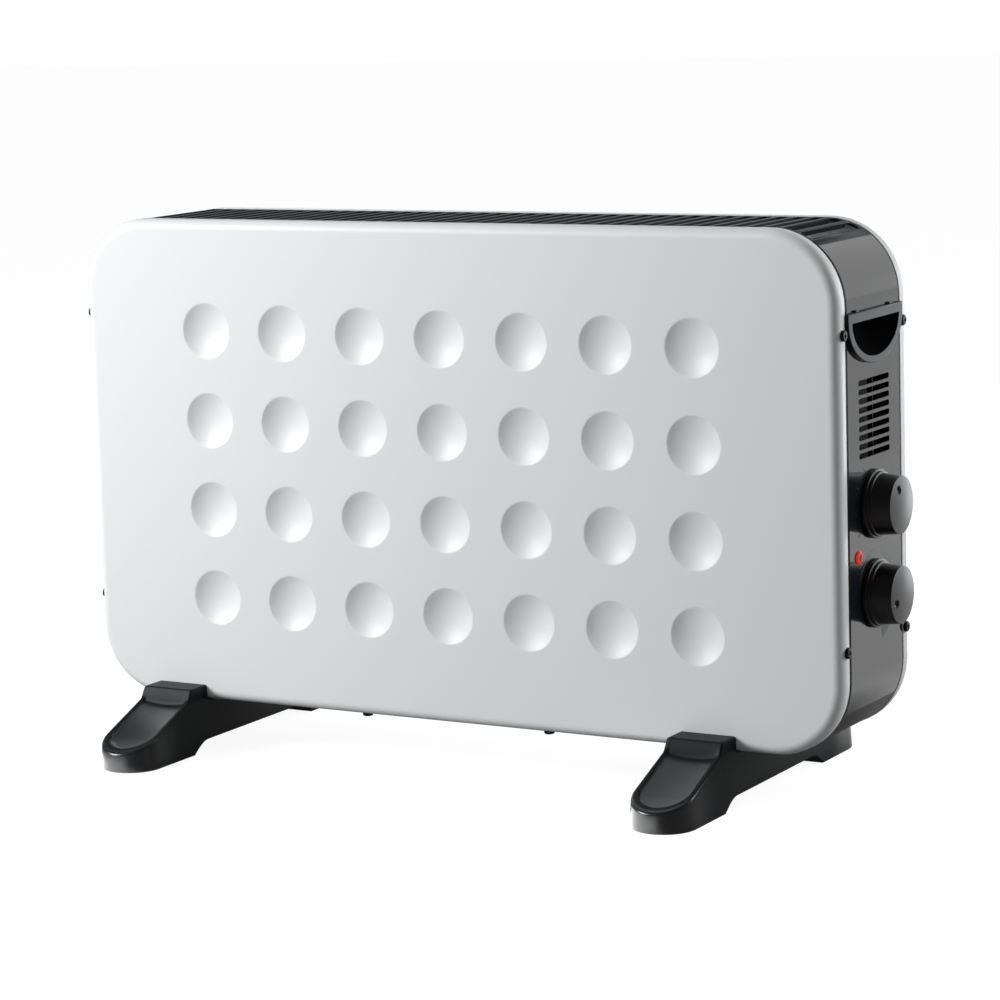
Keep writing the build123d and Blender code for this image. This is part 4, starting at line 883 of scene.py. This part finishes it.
def foot_wall_rows(stations, rim):
    """Rows of points from a foot's upper rim down its walls and round the edge of its sole."""
    rows = []
    for share in WALL_SHARES:
        row = []
        for ((y, turn), side), (_, rim_ahead, rim_height) in zip(stations, rim):
            low = foot_sole_height(rim_ahead) + FOOT_SOLE_ROUND
            height = low + (rim_height - low) * share
            across, ahead = plan_point(height * math.tan(FOOT_DRAFT), y, turn)
            row.append((side * across, ahead, height))
        rows.append(row)
    for lift, inset in SOLE_EDGE:
        row = []
        for (y, turn), side in stations:
            across, ahead = plan_point(inset, y, turn)
            row.append((side * across, ahead, foot_sole_height(ahead) + lift))
        rows.append(row)
    return rows


def make_half_foot(sheet, foot_x, facing):
    """Front or rear half of a foot."""

    def lay(points):
        """Points put at this foot, turned for the rear half."""
        return [(foot_x + facing * x, facing * y, z) for x, y, z in points]

    def lay_flat(points, height):
        """Plan points put at this foot at one height."""
        return lay([(x, y, height) for x, y in points])

    stations = foot_stations()
    top = foot_top_line()
    rows = [foot_top_row(inset, stations, top) for inset in foot_insets()]
    rim = sheet.stack([lay(rows[0])])
    sheet.stack([lay(row) for row in rows[1:]], closed=False, before=rim)
    walls = foot_wall_rows(stations, rows[0])
    edge = sheet.stack([lay(row) for row in walls], closed=False, before=rim)
    sole = walls[-1]
    last = len(sole) - 1
    arch = [i for i in range(len(sole) // 2) if sole[i][1] >= ARCH_START_Y - SAME_POINT]
    for i in range(arch[-1], len(sole) // 2):
        sheet.faces.append((edge[i], edge[i + 1], edge[last - 1 - i], edge[last - i]))
    outline = [sole[i][:2] for i in arch] + [sole[last - i][:2] for i in reversed(arch)]
    well = circle(0.0, -WELL_Y, WELL_RADIUS, WELL_STEPS)
    points, faces = fill(outline, [well])
    sheet.patch(lay_flat(points, ARCH_HEIGHT), faces)
    shank = circle(0.0, -WELL_Y, SHANK_RADIUS, WELL_STEPS)
    sheet.stack([lay_flat(well, ARCH_HEIGHT), lay_flat(well, WELL_TOP), lay_flat(shank, WELL_TOP)])


def make_foot(name, node):
    """One moulded foot with its two clips and dished tongues."""
    sheet = Sheet()
    for facing in (1, -1):
        make_half_foot(sheet, box_middle(node)[0], facing)
    moulding = sheet.piece(name, "heater", "foot_plastic", node, smooth_angle=45.0)
    shading = moulding.modifiers.new("shading", "WEIGHTED_NORMAL")
    shading.keep_sharp = True


def make_knob(name, body, joint, node):
    """Control knob with its stepped skirt, domed face and pointer dimple."""
    anchor = joints[joint]["pos_m"]
    angle = math.radians(POINTER_ANGLES[body])
    across = Vector((0, math.cos(angle), math.sin(angle)))
    pointing = Vector((0, -math.sin(angle), math.cos(angle)))
    foot = Vector((anchor[0] + KNOB_GAP, anchor[1], anchor[2]))

    def lay(x, y, height):
        """Point of the knob: across its pointer, along its pointer, and out from the panel."""
        return foot + across * x + pointing * y + Vector((height, 0, 0))

    sheet = Sheet()
    profile = round_corners(KNOB_PROFILE, KNOB_CORNER_STEPS)
    sheet.stack(
        [lay(x, y, height) for x, y in circle(0, 0, radius, KNOB_STEPS)] for radius, height in profile
    )
    edge_radius, edge_height = profile[-1]
    dome = KNOB_HEIGHT - edge_height

    def face_height(x, y):
        """Height of the domed face."""
        share = (x * x + y * y) / edge_radius ** 2
        return edge_height + dome * (1 - share)

    def pointer_drop(distance):
        """Depth of the pointer dimple."""
        share = distance / POINTER_RADIUS
        return POINTER_DEPTH * max(1 - share * share, 0.0)

    def pointer_ring(distance):
        """Points of a ring round the pointer dimple's middle."""
        return circle(0, POINTER_DISTANCE, distance, POINTER_STEPS)

    inner = []
    for ring in range(1, FACE_RINGS):
        for x, y in circle(0, 0, edge_radius * ring / FACE_RINGS, FACE_RING_POINTS * ring):
            if math.hypot(x, y - POINTER_DISTANCE) > POINTER_RADIUS * POINTER_CLEARANCE:
                inner.append((x, y))
    inner += pointer_ring(POINTER_RADIUS * POINTER_COLLAR)
    inner.append((0.0, 0.0))
    rim = circle(0, 0, edge_radius, KNOB_STEPS)
    points, faces = fill(rim, [pointer_ring(POINTER_RADIUS)], inner)
    sheet.patch([lay(x, y, face_height(x, y)) for x, y in points], faces)
    rows = []
    for i in range(POINTER_ROWS):
        distance = POINTER_RADIUS * (1 - i / POINTER_ROWS)
        drop = pointer_drop(distance)
        rows.append([lay(x, y, face_height(x, y) - drop) for x, y in pointer_ring(distance)])
    bottom = face_height(0, POINTER_DISTANCE) - POINTER_DEPTH
    sheet.fan(sheet.stack(rows), lay(0, POINTER_DISTANCE, bottom))
    sheet.piece(name, body, "knob_plastic", node, smooth_angle=32.0)


def make_prints():
    """Dial marks printed on the control panel round both knobs."""
    sheet = Sheet()

    def place(middle, distance, angle):
        """Y and Z of a point at a distance and angle from a middle."""
        turn = math.radians(angle)
        return middle[1] - distance * math.sin(turn), middle[2] + distance * math.cos(turn)

    def strip(middle, outer, inner, closed=False):
        """Thin raised strip between two lines of (distance, angle) from a middle."""
        rows = []
        for line, lift in ((outer, 0.0), (outer, PRINT_RISE), (inner, PRINT_RISE), (inner, 0.0)):
            level = plate_x + PRINT_FLOAT + lift
            rows.append([(level, *place(middle, distance, angle)) for distance, angle in line])
        sheet.stack(rows, closed=closed)

    selector = joints["selector_turn"]["pos_m"]
    lean = math.degrees(TICK_WIDTH / 2 / TICK_RADII[0])
    for angle in TICK_ANGLES:
        ends = [(radius, angle - lean) for radius in TICK_RADII]
        starts = [(radius, angle + lean) for radius in TICK_RADII]
        strip(selector, ends, starts)
    off_middle = (0, *place(selector, OFF_DISTANCE, OFF_ANGLE))
    rings = [[(radius, 360.0 / OFF_STEPS * i) for i in range(OFF_STEPS)] for radius in reversed(OFF_RADII)]
    strip(off_middle, rings[0], rings[1], closed=True)
    outer, inner = [], []
    for i in range(HEAT_ARC_STEPS + 1):
        share = i / HEAT_ARC_STEPS
        angle = HEAT_ARC_ANGLES[0] + (HEAT_ARC_ANGLES[1] - HEAT_ARC_ANGLES[0]) * share
        width = HEAT_ARC_WIDTHS[0] + (HEAT_ARC_WIDTHS[1] - HEAT_ARC_WIDTHS[0]) * share
        inner.append((HEAT_ARC_RADIUS, angle))
        outer.append((HEAT_ARC_RADIUS + width, angle))
    strip(joints["thermostat_turn"]["pos_m"], outer, inner)
    sheet.piece("printed_marks", "heater", "underside_paint", None, smooth_angle=30.0)


def round_edges(node, width):
    """Round the sharp edges of a ready shape by a small bevel."""
    shape = frame["nodes"][node]
    weld = shape.modifiers.new("weld", "WELD")
    weld.merge_threshold = EDGE_WELD
    bevel = shape.modifiers.new("edges", "BEVEL")
    bevel.width = width
    bevel.segments = EDGE_SEGMENTS
    bevel.limit_method = "ANGLE"
    bevel.angle_limit = EDGE_LEAST_ANGLE
    bevel.use_clamp_overlap = True
    bevel.harden_normals = True


make_front_panel()
make_prints()
round_edges("top_grille", GRILLE_EDGE)
round_edges("right_handle_cup", CUP_EDGE)
round_edges("left_handle_cup", CUP_EDGE)
make_foot("right_foot_moulding", "right_foot")
make_foot("left_foot_moulding", "left_foot")
make_knob("selector_dial", "selector", "selector_turn", "selector_knob")
make_knob("thermostat_dial", "thermostat", "thermostat_turn", "thermostat_knob")


def make_camera():
    """Camera with the photograph's place, direction and lens."""
    ahead = Vector((
        -math.sin(CAMERA_YAW) * math.cos(CAMERA_PITCH),
        math.cos(CAMERA_YAW) * math.cos(CAMERA_PITCH),
        -math.sin(CAMERA_PITCH),
    ))
    right = Vector((math.cos(CAMERA_YAW), math.sin(CAMERA_YAW), 0))
    up = right.cross(ahead)
    c, s = math.cos(CAMERA_ROLL), math.sin(CAMERA_ROLL)
    turn = Matrix((right * c + up * s, up * c - right * s, -ahead)).transposed().to_4x4()
    turn.translation = Vector(CAMERA_PLACE)
    data = bpy.data.cameras.new("camera")
    data.lens = CAMERA_LENS
    data.sensor_width = FILM_WIDTH
    data.clip_start, data.clip_end = CAMERA_CLIP
    camera = bpy.data.objects.new("camera", data)
    camera.matrix_world = turn
    bpy.context.scene.collection.objects.link(camera)
    bpy.context.scene.camera = camera


def make_lamp(name, place, aim, size, watts, tint, only_gloss):
    """Soft rectangular lamp aimed at a point, or a card that only shows in gloss."""
    data = bpy.data.lights.new(name, "AREA")
    data.shape = "RECTANGLE"
    data.size, data.size_y = size
    data.energy = watts
    data.color = tint
    lamp = bpy.data.objects.new(name, data)
    lamp.location = place
    lamp.rotation_euler = (Vector(aim) - Vector(place)).to_track_quat("-Z", "Y").to_euler()
    lamp.visible_diffuse = not only_gloss
    bpy.context.scene.collection.objects.link(lamp)


def seen_directly(tree):
    """1 for rays from the camera, from gloss and through glass, 0 for other rays."""
    rays = tree.nodes.new("ShaderNodeLightPath").outputs
    value = rays["Is Camera Ray"]
    for label in ("Is Glossy Ray", "Is Transmission Ray"):
        value = measure(tree, "MAXIMUM", value, rays[label])
    return value


def to_camera(tree, others, camera):
    """One value for the camera's rays and another for all others."""
    rays = tree.nodes.new("ShaderNodeLightPath").outputs
    return spread(tree, rays["Is Camera Ray"], others, camera)


def make_world():
    """White surroundings, seen as white, brighter in gloss towards the back, lighting evenly."""
    world = bpy.data.worlds.new("studio")
    world.use_nodes = True
    tree = world.node_tree
    background = tree.nodes["Background"]
    background.inputs["Color"].default_value = WHITE
    direction = tree.nodes.new("ShaderNodeSeparateXYZ")
    tree.links.new(tree.nodes.new("ShaderNodeTexCoord").outputs["Generated"], direction.inputs[0])
    in_gloss = spread(tree, direction.outputs["Y"], *SKY_IN_GLOSS, *SKY_TURN)
    strength = to_camera(tree, spread(tree, seen_directly(tree), SKY_LIGHT, in_gloss), 1.0)
    tree.links.new(strength, background.inputs["Strength"])
    bpy.context.scene.world = world


def floor_in_gloss(tree):
    """Brightness of the floor in reflections, with painted shade close to the heater and painted light in
    patches beside the front toes.
    """
    axes = heater_axes(tree)
    patches = FLOOR_DARK
    for start, end, after in PATCH_SIDES:
        patches = spread(tree, rise(tree, axes["X"], start, end), patches, after)
    changes = ((PATCH_FRONT, patches), (PATCH_BACK, FLOOR_DARK), (BEHIND_START, FLOOR_BEHIND))
    level = FLOOR_DARK
    for (start, end), after in changes:
        level = spread(tree, rise(tree, axes["Y"], start, end), level, after)
    return level


def make_floor():
    """Pale floor that keeps the heater's shadow, with painted shade and painted light of its own in
    reflections.
    """
    mesh = bpy.data.meshes.new("studio_floor")
    corners = [(x * FLOOR_REACH, y * FLOOR_REACH, 0) for x, y in ((-1, -1), (1, -1), (1, 1), (-1, 1))]
    mesh.from_pydata(corners, [], [(0, 1, 2, 3)])
    floor = bpy.data.objects.new("studio_floor", mesh)
    bpy.context.scene.collection.objects.link(floor)
    material = bpy.data.materials.new("studio_floor")
    material.use_nodes = True
    tree = material.node_tree
    shader = tree.nodes["Principled BSDF"]
    shader.inputs["Base Color"].default_value = FLOOR_GREY
    shader.inputs["Roughness"].default_value = 1.0
    shader.inputs["Specular IOR Level"].default_value = 0.0
    shader.inputs["Emission Color"].default_value = WHITE
    shown = to_camera(tree, floor_in_gloss(tree), FLOOR_GLOW)
    glow = spread(tree, seen_directly(tree), 0.0, shown)
    tree.links.new(glow, shader.inputs["Emission Strength"])
    mesh.materials.append(material)


make_camera()
make_world()
make_floor()
for lamp_name, settings in LAMPS.items():
    make_lamp(lamp_name, *settings)

bpy.context.scene.view_settings.view_transform = "Standard"
